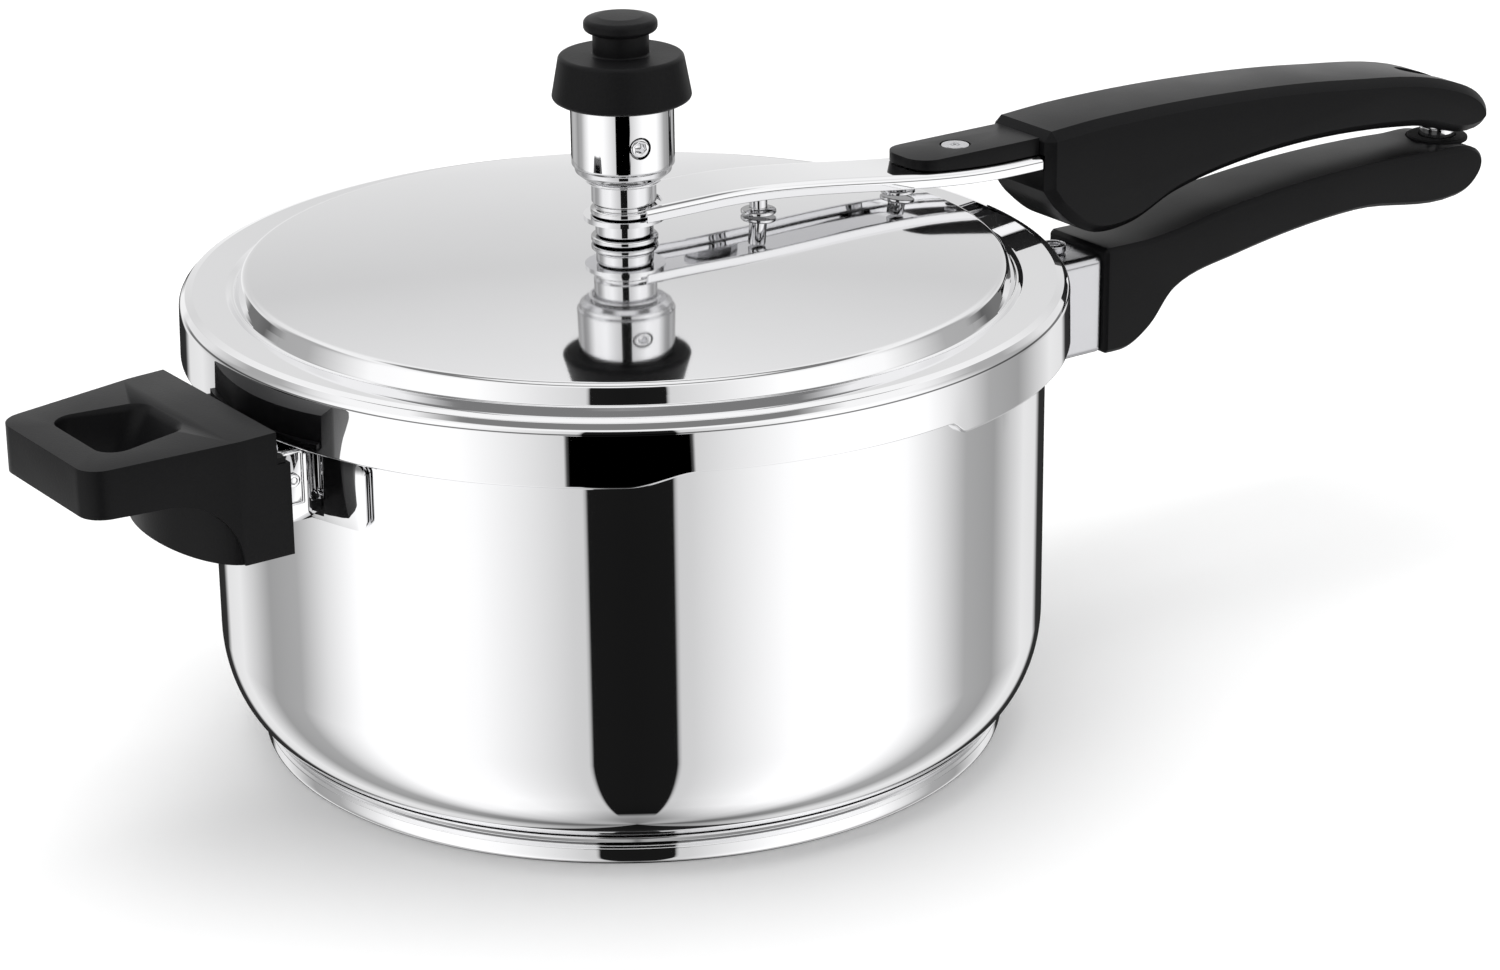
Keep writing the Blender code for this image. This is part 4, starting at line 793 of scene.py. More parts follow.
class Library:
    """The shared groups and every finish of the cooker."""

    def __init__(self, dome_radius: float) -> None:
        self.variation = VariationGroup().tree
        self.turning = TurningGroup().tree
        self.grain = GrainGroup().tree
        steel = (0.93, 0.93, 0.94)
        self.mirror = Metal("mirror_steel", steel, 0.012, 0.035).make(self)
        # rim=0.9 paints shade into the small pieces' colour at edges turned from the camera.
        self.small = Metal("small_steel", steel, 0.02, 0.04, rim=0.9).make(self)
        self.lid = SpunLid("spun_lid", steel, (0.82, 0.82, 0.83), dome_radius, 0.02, 0.05).make(self)
        self.inside = Metal("brushed_inside", (0.72, 0.72, 0.73), 0.18, 0.3, 0.00001).make(self)
        self.satin = Metal("turned_steel", (0.66, 0.66, 0.68), 0.2, 0.32, 0.000012, 9000.0).make(self)
        self.aluminium = Metal("pressed_aluminium", (0.72, 0.73, 0.74), 0.36, 0.48, 0.00002).make(self)
        self.resin = Moulding(
            "satin_resin", (0.005, 0.005, 0.0055), (0.009, 0.009, 0.0095), 0.3, 0.38, 0.1, 0.00003, 2400.0
        ).make(self)
        self.knob = Moulding(
            "cap_resin", (0.006, 0.006, 0.0065), (0.011, 0.011, 0.0115), 0.36, 0.46, 0.11, 0.00004, 1800.0
        ).make(self)
        self.rubber = Moulding(
            "matt_rubber", (0.009, 0.009, 0.0095), (0.016, 0.016, 0.0165), 0.6, 0.75, 0.12, 0.00006, 1500.0
        ).make(self)

    def start(self, name: str) -> tuple:
        """A new material with its nodes and its Principled shader."""
        made = bpy.data.materials.new(name)
        made.use_nodes = True
        return made, NodeTree(made.node_tree), made.node_tree.nodes["Principled BSDF"]

    def use(self, nodes: NodeTree, group: bpy.types.NodeTree, **values: float) -> bpy.types.Node:
        """Places a shared group in a material with its own values."""
        node = nodes.add("ShaderNodeGroup", node_tree=group)
        for name, value in values.items():
            node.inputs[name].default_value = value
        return node


# ---------------------------------------------------------------- pieces


@dataclass
class Workshop:
    """What every sub-assembly needs: the node trees and the finishes."""

    turned: TurnedTree
    heads: HeadTree
    rings: RingTree
    finish: Library
    made: list = field(default_factory=list)

    def done(
        self, obj: bpy.types.Object, body: Body, slot: Slot, nodes: tuple, finish: bpy.types.Material
    ) -> bpy.types.Object:
        """Dresses a finished piece and hands it to the frame.

        Args:
            obj: the piece, with no modifiers.
            body: the body that it rides on.
            slot: not used.
            nodes: the CAD nodes that it stands for.
            finish: its material.

        Returns:
            The piece.
        """
        obj.data.materials.clear()
        obj.data.materials.append(finish)
        obj.data.shade_smooth()
        obj.data.set_sharp_from_angle(angle=SHARP_EDGE)
        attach(obj, body.value)
        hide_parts(*nodes)
        self.made.append(obj)
        LOG.info("%s: %d faces on %s", obj.name, len(obj.data.polygons), body.value)
        return obj

    def turn(self, name: str, profile: list, steps: int, finish: bpy.types.Material) -> bpy.types.Object:
        """Turns a closed profile whose corners may have radii."""
        touches_axis = profile[0][0] == 0.0 and profile[-1][0] == 0.0
        path = rounded_path(profile, closed=not touches_axis)
        if not touches_axis:
            path.append(path[0])
        return self.turned.make(name, path, steps, finish)


@dataclass(frozen=True)
class Screw:
    """A screw to be remade: its head's sizes, its shank's radius and the way its head faces."""

    name: str
    node: str
    head: Head
    shank: float
    is_upside_down: bool = False

    def build(self, shop: Workshop, body: Body) -> None:
        """Makes the screw where the CAD screw is."""
        middle, _, low, high = upright(self.node)
        reach = self.head.height - HEAD_OVERLAP
        if self.is_upside_down:
            seat, facing, ends = low + self.head.height, -1.0, (low + reach, high)
        else:
            seat, facing, ends = high - self.head.height, 1.0, (low, high - reach)
        place = ((middle, 0.0, seat), (0.0, 0.0, facing))
        obj = shop.heads.make(self.name, [place], self.head, shop.finish.satin)
        combine(obj, rod("shank", self.shank, *ends, along_x(middle)), "UNION")
        shop.done(obj, body, Slot.SATIN, (self.node,), shop.finish.satin)


@dataclass
class Pot:
    """The drawn pot with its lugs, and the base under it."""

    shop: Workshop
    radius: float = 0.0
    height: float = 0.0
    base_height: float = 0.0
    base_radius: float = 0.0
    wall: float = 0.0012
    corner_width: float = 0.0165
    corner_height: float = 0.0240
    bead: float = 0.0009
    bead_height: float = 0.0018
    lug_reach: float = 0.0015
    lug_height: float = 0.0045
    lug_centre: float = math.radians(-48)
    lug_half: float = math.radians(17)
    lug_run: float = math.radians(2.5)
    cap_corner: float = 0.0020
    cap_wall: float = 0.0008
    cap_bead: float = 0.0007
    cap_flare: float = 0.0013

    def __post_init__(self) -> None:
        """Reads the driving sizes from the frame."""
        _, rim, _, self.height = upright("pot_shell")
        self.radius = rim - self.bead
        _, self.base_radius, _, self.base_height = upright("base_cap")

    def build(self) -> None:
        """Makes the pot and its base."""
        self.shell()
        self.base()
        self.core()

    def shell(self) -> None:
        """The pot: a straight wall, an oval corner and a rolled rim with two lugs."""
        middle = (self.radius - self.corner_width, self.base_height + GAP + self.corner_height)
        outer = arc(middle, (self.corner_width, self.corner_height), 0, -90, 26)
        inner_size = (self.corner_width - self.wall, self.corner_height - self.wall)
        inner = arc(middle, inner_size, -90, 0, 20)
        bead = self.radius + self.bead
        profile = [
            (self.radius - self.wall, self.height - self.wall),
            (self.radius - self.wall, self.height, 0.0004),
            (bead, self.height, 0.0004),
            (bead, self.height - self.bead_height, 0.0004),
            (self.radius, self.height - self.bead_height - self.bead, 0.0003),
            (self.radius, self.height - self.lug_height),
            (self.radius, self.height - self.lug_height - self.lug_reach),
            (self.radius, self.height - 4 * self.lug_height),
            (self.radius, middle[1] + GAP),
            *outer,
            (0.0, middle[1] - self.corner_height),
        ]
        path = rounded_path(profile)
        path += [(0.0, middle[1] - inner_size[1]), *inner]
        path += [(self.radius - self.wall, middle[1] + GAP), path[0]]
        obj = self.shop.turned.make("drawn_pot", path, 2 * LARGE_STEPS, self.shop.finish.mirror)
        for vertex in obj.data.vertices:
            vertex.co = self.with_lugs(vertex.co)
        self.shop.done(obj, Body.POT, Slot.POLISHED, ("pot_shell",), self.shop.finish.mirror)

    def with_lugs(self, point: Vector) -> Vector:
        """Moves a point of the rim out to a lug where there is one."""
        radius = math.hypot(point.x, point.y)
        low = self.height - self.lug_height - self.lug_reach
        if radius < self.radius - GAP or point.z < low + GAP:
            return point
        angle = (math.atan2(point.y, point.x) - self.lug_centre + math.pi / 2) % math.pi - math.pi / 2
        share = min(max((self.lug_half - abs(angle)) / self.lug_run, 0.0), 1.0)
        share *= share * (3 - 2 * share)
        wanted = self.radius + self.lug_reach
        grown = radius + max(0.0, wanted - radius) * share
        return Vector((point.x * grown / radius, point.y * grown / radius, point.z))

    def base(self) -> None:
        """The steel cap pressed over the base."""
        inner = self.base_radius - self.cap_wall
        flare = self.base_radius + self.cap_flare
        profile = [
            (0.0, 0.0),
            (self.base_radius, 0.0, self.cap_corner),
            (self.base_radius, self.base_height - self.cap_bead, 0.0004),
            (self.base_radius - self.cap_bead, self.base_height, 0.0002),
            (flare, self.corner_rise(flare) - GAP, 0.0003),
            (inner, self.corner_rise(inner) - GAP),
            (inner, self.base_height - self.cap_bead, 0.0002),
            (inner, self.cap_wall, self.cap_corner),
            (0.0, self.cap_wall),
        ]
        finish = self.shop.finish.mirror
        obj = self.shop.turn("base_cover", profile, LARGE_STEPS, finish)
        self.shop.done(obj, Body.POT, Slot.POLISHED, ("base_cap",), finish)

    def corner_rise(self, radius: float) -> float:
        """Height of the pot's oval corner over a radius."""
        share = (radius - self.radius + self.corner_width) / self.corner_width
        return self.base_height + GAP + self.corner_height * (1 - math.sqrt(1 - share * share))

    def core(self) -> None:
        """The aluminium disc inside the base keeps its CAD shape."""
        dress("base_core", self.shop.finish.aluminium)


def dress(node: str, finish: bpy.types.Material) -> None:
    """Gives a CAD node a finish and keeps its shape."""
    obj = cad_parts[node]
    if not obj.data.materials:
        obj.data.materials.append(finish)
    for index in range(len(obj.data.materials)):
        obj.data.materials[index] = finish
    LOG.info("%s keeps its shape", node)


@dataclass
class Seal:
    """The rubber ring between the pot's rim and the lid."""

    shop: Workshop
    lip: float = 0.0016

    def build(self) -> None:
        """Makes the ring with its open lip towards the middle."""
        _, outer, low, top = upright("sealing_ring")
        inner = outer - 0.0102
        profile = [
            (outer - 0.0018, top, 0.0006),
            (outer, top - 0.0022, 0.0008),
            (outer, low, 0.0006),
            (inner, low, 0.0006),
            (inner, low + self.lip, 0.0005),
            (inner + 2 * self.lip, low + self.lip, 0.0004),
            (inner + 2 * self.lip, top - self.lip, 0.0004),
            (inner + self.lip, top - self.lip, 0.0005),
            (inner + self.lip, top, 0.0005),
        ]
        finish = self.shop.finish.rubber
        obj = self.shop.turn("rubber_ring", profile, LARGE_STEPS, finish)
        self.shop.done(obj, Body.SEAL, Slot.RUBBER, ("sealing_ring",), finish)


@dataclass
class Lid:
    """The lid: dome, groove, flange and a skirt with two shallow stretches."""

    shop: Workshop
    wall: float = 0.0010
    groove_inset: float = 0.0135
    groove_width: float = 0.0020
    groove_depth: float = 0.0012
    edge_rise: float = 0.0037
    dome_rise: float = 0.0043
    crease_inset: float = 0.0018
    lip_reach: float = 0.0035
    skirt_lean: float = 0.0003
    shallow_rise: float = 0.0033
    shallow_centre: float = math.radians(-99.5)
    shallow_half: float = math.radians(20.0)
    sharp_run: float = math.radians(3.0)
    slow_run: float = math.radians(9.0)

    def __post_init__(self) -> None:
        """Reads the driving sizes from the frame."""
        _, self.radius, self.low, self.dome_top = upright("lid_shell")
        self.flange = self.dome_top - self.edge_rise - self.dome_rise
        self.groove = self.radius - self.groove_inset
        self.dome_radius = self.groove - self.groove_width

    def dome_height(self, radius: float) -> float:
        """Height of the dome over a distance from the middle."""
        return self.dome_top - self.dome_rise * (radius / self.dome_radius) ** 2

    def build(self) -> None:
        """Makes the shell and dresses the safety plug."""
        self.shell()
        self.plug()

    def shell(self) -> None:
        """Turns the shell and lifts the skirt's lower edge where it is shallow."""
        steps = 20
        edge_z = self.dome_height(self.dome_radius)
        dome = [self.dome_radius * i / steps for i in range(steps)]
        outer = [(r, self.dome_height(r)) for r in dome]
        outer += [
            (self.dome_radius, edge_z, 0.0016),
            (self.dome_radius + self.groove_width * 0.55, self.flange + self.groove_depth, 0.0012),
            (self.groove + 0.0002, self.flange - self.groove_depth, 0.0007),
            (self.groove + self.groove_width, self.flange - self.groove_depth / 3, 0.0009),
            (self.radius - self.crease_inset - 0.0018, self.flange - 0.0001, 0.0003),
            (self.radius - self.crease_inset, self.flange - 0.0005, 0.0004),
            (self.radius - self.skirt_lean, self.flange - 0.0022, 0.0022),
            (self.radius - self.skirt_lean / 2, (self.flange + self.low) / 2),
            (self.radius, self.low + 0.0006, 0.0005),
            (self.radius - 0.0009, self.low, 0.0004),
            (self.radius - self.lip_reach, self.low, 0.0003),
            (self.radius - self.lip_reach, self.low + self.wall, 0.0003),
            (self.radius - self.wall - 0.0004, self.low + self.wall, 0.0006),
        ]
        under = [
            (self.radius - self.wall - self.skirt_lean, self.flange - 0.0032, 0.0014),
            (self.radius - self.crease_inset - self.wall, self.flange - self.wall, 0.0008),
            (self.groove + self.groove_width, self.flange - self.wall, 0.0006),
            (self.groove - self.wall, self.flange - self.wall - self.groove_depth / 2, 0.0006),
            (self.dome_radius - self.wall, edge_z - self.wall, 0.0008),
        ]
        under += [(r, self.dome_height(r) - self.wall) for r in reversed(dome)]
        path = rounded_path(outer + under)
        obj = self.shop.turned.make("domed_lid", path, 3 * LARGE_STEPS, self.shop.finish.lid)
        for vertex in obj.data.vertices:
            vertex.co.z += self.lift(vertex.co)
        self.shop.done(obj, Body.LID, Slot.POLISHED, ("lid_shell",), self.shop.finish.lid)

    def lift(self, point: Vector) -> float:
        """How far a point of the skirt is raised by a shallow stretch."""
        radius = math.hypot(point.x, point.y)
        top = self.flange - 0.0050
        if radius < self.radius - self.lip_reach - GAP or point.z > top:
            return 0.0
        angle = math.atan2(point.y, point.x) - self.shallow_centre
        angle = (angle + math.pi / 2) % math.pi - math.pi / 2
        run = self.slow_run if angle < 0 else self.sharp_run
        share = min(max((self.shallow_half - abs(angle)) / run + 0.5, 0.0), 1.0)
        share *= share * (3 - 2 * share)
        depth = min((top - point.z) / (top - self.low), 1.0)
        return self.shallow_rise * share * depth

    def plug(self) -> None:
        """The safety plug and its nut keep their CAD shapes."""
        dress("safety_plug", self.shop.finish.satin)
        dress("safety_plug_nut", self.shop.finish.satin)


@dataclass
class Vent:
    """What stands on the lid's middle under the strap's eye."""

    shop: Workshop

    def build(self) -> None:
        """Makes the ring and the spacer and dresses the hidden pieces."""
        self.collar("seat_ring", "vent_ring", 0.0005)
        self.collar("seat_spacer", "vent_spacer", 0.0006)
        dress("vent_pipe", self.shop.finish.satin)
        dress("vent_nut", self.shop.finish.satin)
        dress("vent_washer", self.shop.finish.rubber)

    def collar(self, name: str, node: str, edge: float) -> None:
        """A round collar with soft edges and the pipe's bore."""
        _, radius, low, high = upright(node)
        bore = upright("vent_pipe")[1] + GAP
        profile = [(bore, high, 0.0002), (radius, high, edge), (radius, low, edge), (bore, low, 0.0002)]
        finish = self.shop.finish.small
        obj = self.shop.turn(name, profile, MEDIUM_STEPS, finish)
        self.shop.done(obj, Body.LID, Slot.POLISHED, (node,), finish)


@dataclass
class Strap:
    """The channel that carries the lid, its eye round the vent and its two studs."""

    shop: Workshop
    lid: Lid
    sheet: float = 0.0012
    depth: float = 0.0035
    rise: float = 0.0031
    drop: float = 0.0084
    bend_start: float = 0.0200
    bend_overrun: float = 0.0050
    outer_turn: float = 0.0016
    eye_rim: float = 0.0017
    stations: int = 60

    def __post_init__(self) -> None:
        """Reads the driving sizes from the frame."""
        self.end, self.half, self.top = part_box("lid_strap")[1]
        self.eye_top = self.top - self.rise
        self.bend_end = self.lid.radius + self.bend_overrun
        self.sleeve = upright("weight_sleeve")[1]

    def height(self, x: float) -> float:
        """Height of the strap's top over a place along it."""
        share = min(max((x - self.bend_start) / (self.bend_end - self.bend_start), 0.0), 1.0)
        return self.top - self.drop * share * share * (3 - 2 * share)

    def build(self) -> None:
        """Makes the strap and its studs."""
        self.channel()
        for name, node in (("inner_stud", "strap_stud_inner"), ("outer_stud", "strap_stud_outer")):
            self.stud(name, node)

    def channel(self) -> None:
        """A folded channel that follows the bend, with the eye joined to its end."""
        inside = self.half - self.sheet
        inner_turn = self.outer_turn - self.sheet * 0.75
        section = rounded_path(
            [
                (-self.half, -self.depth, 0.0003),
                (-self.half, 0.0, self.outer_turn),
                (self.half, 0.0, self.outer_turn),
                (self.half, -self.depth, 0.0003),
                (inside, -self.depth, 0.0003),
                (inside, -self.sheet, inner_turn),
                (-inside, -self.sheet, inner_turn),
                (-inside, -self.depth, 0.0003),
            ],
            closed=True,
        )
        rings = []
        for i in range(self.stations + 1):
            x = self.end * i / self.stations
            rings.append([(x, y, self.height(x) + z) for y, z in section])
        strap = loft("channel_strap", rings)
        eye = self.sleeve + self.eye_rim
        combine(strap, rod("eye", eye, self.eye_top - self.sheet, self.eye_top), "UNION")
        combine(strap, rod("sleeve_room", self.sleeve + 0.001, self.eye_top, self.top + CUT))
        bore = upright("vent_pipe")[1] + GAP
        combine(strap, rod("eye_hole", bore, self.eye_top - CUT, self.eye_top + CUT))
        finish = self.shop.finish.mirror
        self.shop.done(strap, Body.LID, Slot.POLISHED, ("lid_strap",), finish)

    def stud(self, name: str, node: str) -> None:
        """A stud with a wide foot, which carries the strap over the dome."""
        x, foot, low, high = upright(node)
        shank = foot / 2
        foot_top = low + 0.0011
        profile = [
            (0.0, high),
            (shank, high, 0.0002),
            (shank, foot_top, 0.0003),
            (foot, foot_top - 0.0002, 0.0004),
            (foot, low, 0.0002),
            (0.0, low),
        ]
        finish = self.shop.finish.small
        obj = place_mesh(self.shop.turn(name, profile, MEDIUM_STEPS, finish), along_x(x))
        self.shop.done(obj, Body.LID, Slot.POLISHED, (node,), finish)


@dataclass
class LidHandle:
    """The upper long handle and the plate in front of it."""

    shop: Workshop
    strap: Strap
    chamfer: float = 0.0032
    edge: float = 0.0009
    slot_inset: float = 0.1428
    slot_length: float = 0.0190
    slot_width: float = 0.0090
    screw_inset: float = 0.0208
    tail_drop: float = 0.0187
    tongue_corner: float = 0.0062

    def __post_init__(self) -> None:
        """Reads the driving sizes from the frame."""
        low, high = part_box("lid_handle")
        self.front = low[0]
        self.half = high[1]
        self.level = self.strap.height(self.strap.end)

    def build(self) -> None:
        """Makes the grip, the plate and their screws."""
        self.grip()
        self.tongue()
        self.screws()

    def outline(self) -> list:
        """The grip's side, from its front top corner round the tail and back."""
        reach_and_rise = [
            (0.0, 0.0061),
            (0.0188, 0.0071, "round"),
            (0.0588, 0.0066, "round"),
            (0.1038, 0.0030, "round"),
            (0.1438, -0.0040, "round"),
            (0.1558, -0.0107, "round"),
            (0.1576, -0.0157, "round"),
            (0.1533, -self.tail_drop, "round"),
            (0.1298, -0.0142, "round"),
            (0.0968, -0.0117, "round"),
            (0.0668, -0.0131, "round"),
            (0.0443, -0.0171, "round"),
            (0.0288, -0.0229, "round"),
            (0.0158, -0.0228, "round"),
            (0.0043, -0.0147, "round"),
            (0.0, -0.0092),
        ]
        return [(self.front + x, self.level + z, *kind) for x, z, *kind in reach_and_rise]

    def grip(self) -> None:
        """The moulded grip, with broad chamfers, the strap's slot and the hanging slot."""
        outline = smooth_outline(self.outline())
        grip = prism("upper_grip", outline, -self.half, self.half, "Y")
        soften(grip, self.chamfer, 1, 50)
        soften(grip, self.edge, 3, 18)
        depth = self.strap.depth + GAP
        half = self.strap.half + GAP
        section = [(-half, GAP), (half, GAP), (half, -depth), (-half, -depth)]
        rings = []
        for x in (self.front - 0.004, self.front + 0.012, self.strap.end + GAP):
            rings.append([(x, y, self.strap.height(x) + z) for y, z in section])
        combine(grip, loft("strap_slot", rings))
        middle = self.front + self.slot_inset
        end = self.slot_width / 2
        reach = self.slot_length / 2 - end
        slot = arc((middle + reach, 0.0), (end, end), -90, 90, 20)
        slot += arc((middle - reach, 0.0), (end, end), 90, 270, 20)
        combine(grip, prism("hanging_slot", slot, self.level - 0.04, self.level + 0.04))
        x = self.front + self.screw_inset
        head_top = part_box("lid_handle_screw")[0][2]
        pocket = rod("pocket", 0.0042, self.level - 0.05, head_top + 0.0004, along_x(x))
        combine(grip, pocket)
        finish = self.shop.finish.resin
        self.shop.done(grip, Body.LID, Slot.RESIN, ("lid_handle",), finish)

    def tongue(self) -> None:
        """The black plate that lies on the strap, with a pit for its screw."""
        low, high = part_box("lid_handle_tongue")
        start, end, top = low[0], high[0], high[2]
        half = high[1]
        steps = 16
        upper = [(start - 0.001, top), (end, top)]
        under = [end - (end - start) * i / steps for i in range(steps + 1)]
        lower = [(x, self.strap.height(x) + GAP) for x in under] + [(start - 0.001, low[2] + 0.0004)]
        plate = prism("front_plate", upper + lower, -half - 0.001, half + 0.001, "Y")
        corner = self.tongue_corner
        plan = rounded_path(
            [(start, -half, corner), (end, -half), (end, half), (start, half, corner)], closed=True
        )
        combine(plate, prism("plan", plan, top - 0.02, top + CUT), "INTERSECT")
        soften(plate, 0.0005, 3, 50)
        x, radius, _, screw_top = upright("tongue_screw")
        combine(plate, rod("pit", radius + GAP / 2, screw_top - 0.0012, top + CUT, along_x(x)))
        finish = self.shop.finish.resin
        self.shop.done(plate, Body.LID, Slot.RESIN, ("lid_handle_tongue",), finish)

    def screws(self) -> None:
        """The screw in the plate and the one from below the grip."""
        radius = upright("tongue_screw")[1] - GAP / 2
        top = Screw("plate_screw", "tongue_screw", Head(radius, 0.0012, 0.0014, 0.0008), 0.0017)
        top.build(self.shop, Body.LID)
        head = Head(0.0035, 0.0022, 0.0019, 0.0013)
        under = Screw("grip_screw", "lid_handle_screw", head, 0.0019, is_upside_down=True)
        under.build(self.shop, Body.LID)


@dataclass
class BodyHandle:
    """The lower long handle, its bracket on the pot, and the stud on its tail."""

    shop: Workshop
    pot: Pot
    chamfer: float = 0.0030
    edge: float = 0.0009
    sheet: float = 0.0012
    bend: float = 0.0022
    pad_half: float = math.radians(29)
    pad_corner: float = 0.0050

    def __post_init__(self) -> None:
        """Reads the driving sizes from the frame."""
        low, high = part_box("body_handle_bracket")
        self.bracket_low = low[2]
        self.pad_top = high[2]
        self.front = high[0] + GAP
        self.handle_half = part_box("body_handle")[1][1]
        self.half = self.handle_half - 0.0020
        self.top = self.bracket_low + 0.0286
        self.tube_top = self.bracket_low + 0.0266

    def build(self) -> None:
        """Makes the bracket, the grip, the stud and the screw."""
        self.bracket()
        self.grip()
        self.tail()
        self.screw()

    def bracket(self) -> None:
        """A folded square tube joined to a curved pad with round corners."""
        low, high = (-self.half, self.bracket_low), (self.half, self.tube_top)
        outline = rectangle(low, high, self.bend)
        room = rectangle([v + self.sheet for v in low], [v - self.sheet for v in high], self.bend / 2)
        start = self.pot.radius - 0.004
        end = self.front - GAP
        tube = prism("square_tube", outline, start, end, "X")
        bore = prism("bore", room, start - CUT, end + CUT, "X")
        combine(tube, bore)
        pad_low = self.pad_top - 0.0210
        heights, angles = (pad_low, self.pad_top), (-self.pad_half, self.pad_half)
        pad = bent_plate("pad", self.pot.radius + GAP, self.sheet, heights, angles, self.pad_corner)
        combine(tube, pad, "UNION")
        combine(tube, rod("pot_room", self.pot.radius + GAP, 0.0, self.pot.height))
        place = along_x(upright("body_handle_screw")[0])
        hole = rod("hole", 0.0022, self.tube_top - 0.003, self.tube_top + CUT, place)
        combine(tube, hole)
        finish = self.shop.finish.satin
        self.shop.done(tube, Body.POT, Slot.POLISHED, ("body_handle_bracket",), finish)

    def outline(self) -> list:
        """The grip's side, from its front top corner round the tail and back."""
        reach_and_rise = [
            (0.0, 0.0),
            (0.0174, 0.0001, "round"),
            (0.0449, 0.0039, "round"),
            (0.0804, 0.0063, "round"),
            (0.1174, 0.0057, "round"),
            (0.1329, 0.0040, "round"),
            (0.1359, 0.0, "round"),
            (0.1329, -0.0057, "round"),
            (0.1259, -0.0085, "round"),
            (0.0884, -0.0057, "round"),
            (0.0454, -0.0100, "round"),
            (0.0246, -0.0150, "round"),
            (0.0159, -0.0240, "round"),
            (0.0084, -0.0282, "round"),
            (0.0, -0.0286),
        ]
        return [(self.front + x, self.top + z, *kind) for x, z, *kind in reach_and_rise]

    def grip(self) -> None:
        """The moulded grip, with the tenon that the tube holds and the stud's seat."""
        outline = smooth_outline(self.outline())
        grip = prism("lower_grip", outline, -self.handle_half, self.handle_half, "Y")
        soften(grip, self.chamfer, 1, 50)
        soften(grip, self.edge, 3, 18)
        clear = self.sheet + 0.0006
        half = self.half - clear
        low, high = self.bracket_low + clear, self.tube_top - clear
        section = [(-half, low), (half, low), (half, high), (-half, high)]
        tenon = prism("tenon", section, self.front - 0.0236, self.front + 0.006, "X")
        combine(grip, tenon, "UNION")
        x, ring, ring_low, _ = upright("tail_grommet")
        _, stud, stud_low, _ = upright("tail_stud")
        combine(grip, rod("seat", ring + GAP, ring_low - GAP, ring_low + CUT, along_x(x)))
        combine(grip, rod("socket", stud + GAP, stud_low - GAP, ring_low + CUT, along_x(x)))
        self.shop.done(grip, Body.POT, Slot.RESIN, ("body_handle",), self.shop.finish.resin)

    def tail(self) -> None:
        """The steel stud that meets the upper handle, and the ring round it."""
        middle, radius, low, high = upright("tail_stud")
        profile = [(0.0, high), (radius, high, 0.0006), (radius, low, 0.0004), (0.0, low)]
        stud = self.shop.turn("rest_stud", profile, MEDIUM_STEPS, self.shop.finish.mirror)
        place_mesh(stud, along_x(middle))
        self.shop.done(stud, Body.POT, Slot.POLISHED, ("tail_stud",), self.shop.finish.mirror)
        _, outer, low, high = upright("tail_grommet")
        bore = radius + GAP
        profile = [(bore, high, 0.0003), (outer, high, 0.0006), (outer, low, 0.0002), (bore, low, 0.0002)]
        ring = self.shop.turn("stud_ring", profile, MEDIUM_STEPS, self.shop.finish.rubber)
        place_mesh(ring, along_x(middle))
        self.shop.done(ring, Body.POT, Slot.RUBBER, ("tail_grommet",), self.shop.finish.rubber)

    def screw(self) -> None:
        """The screw through the tube into the tenon."""
        head = Head(0.0035, 0.0022, 0.0019, 0.0013)
        Screw("tube_screw", "body_handle_screw", head, 0.0019).build(self.shop, Body.POT)


def bent_plate(
    name: str, radius: float, sheet: float, heights: tuple, angles: tuple, corner: float
) -> bpy.types.Object:
    """A plate with round corners, bent round the pot.

    Args:
        name: the piece's name.
        radius: of its inner face.
        sheet: its thickness.
        heights: its lowest and highest height.
        angles: where it starts and ends.
        corner: the radius of its corners.

    Returns:
        The closed piece.
    """
    low, high = heights
    start, end = angles
    length = (end - start) * radius
    steps = 40
    shape = bmesh.new()
    rows = []
    for i in range(steps + 1):
        run = length * (1 - math.cos(math.pi * i / steps)) / 2
        near = min(run, length - run)
        inset = corner - math.sqrt(max(corner**2 - max(corner - near, 0.0) ** 2, 0.0))
        inset = min(inset, (high - low) / 2 - GAP)
        angle = start + run / radius
        row = []
        for distance in (radius, radius + sheet):
            for z in (low + inset, high - inset):
                row.append(shape.verts.new((distance * math.cos(angle), distance * math.sin(angle), z)))
        rows.append((row[0], row[1], row[3], row[2]))
    for near_row, far_row in zip(rows, rows[1:]):
        for i in range(4):
            j = (i + 1) % 4
            shape.faces.new((near_row[i], near_row[j], far_row[j], far_row[i]))
    shape.faces.new(rows[0])
    shape.faces.new(rows[-1])
    return from_bmesh(name, shape)


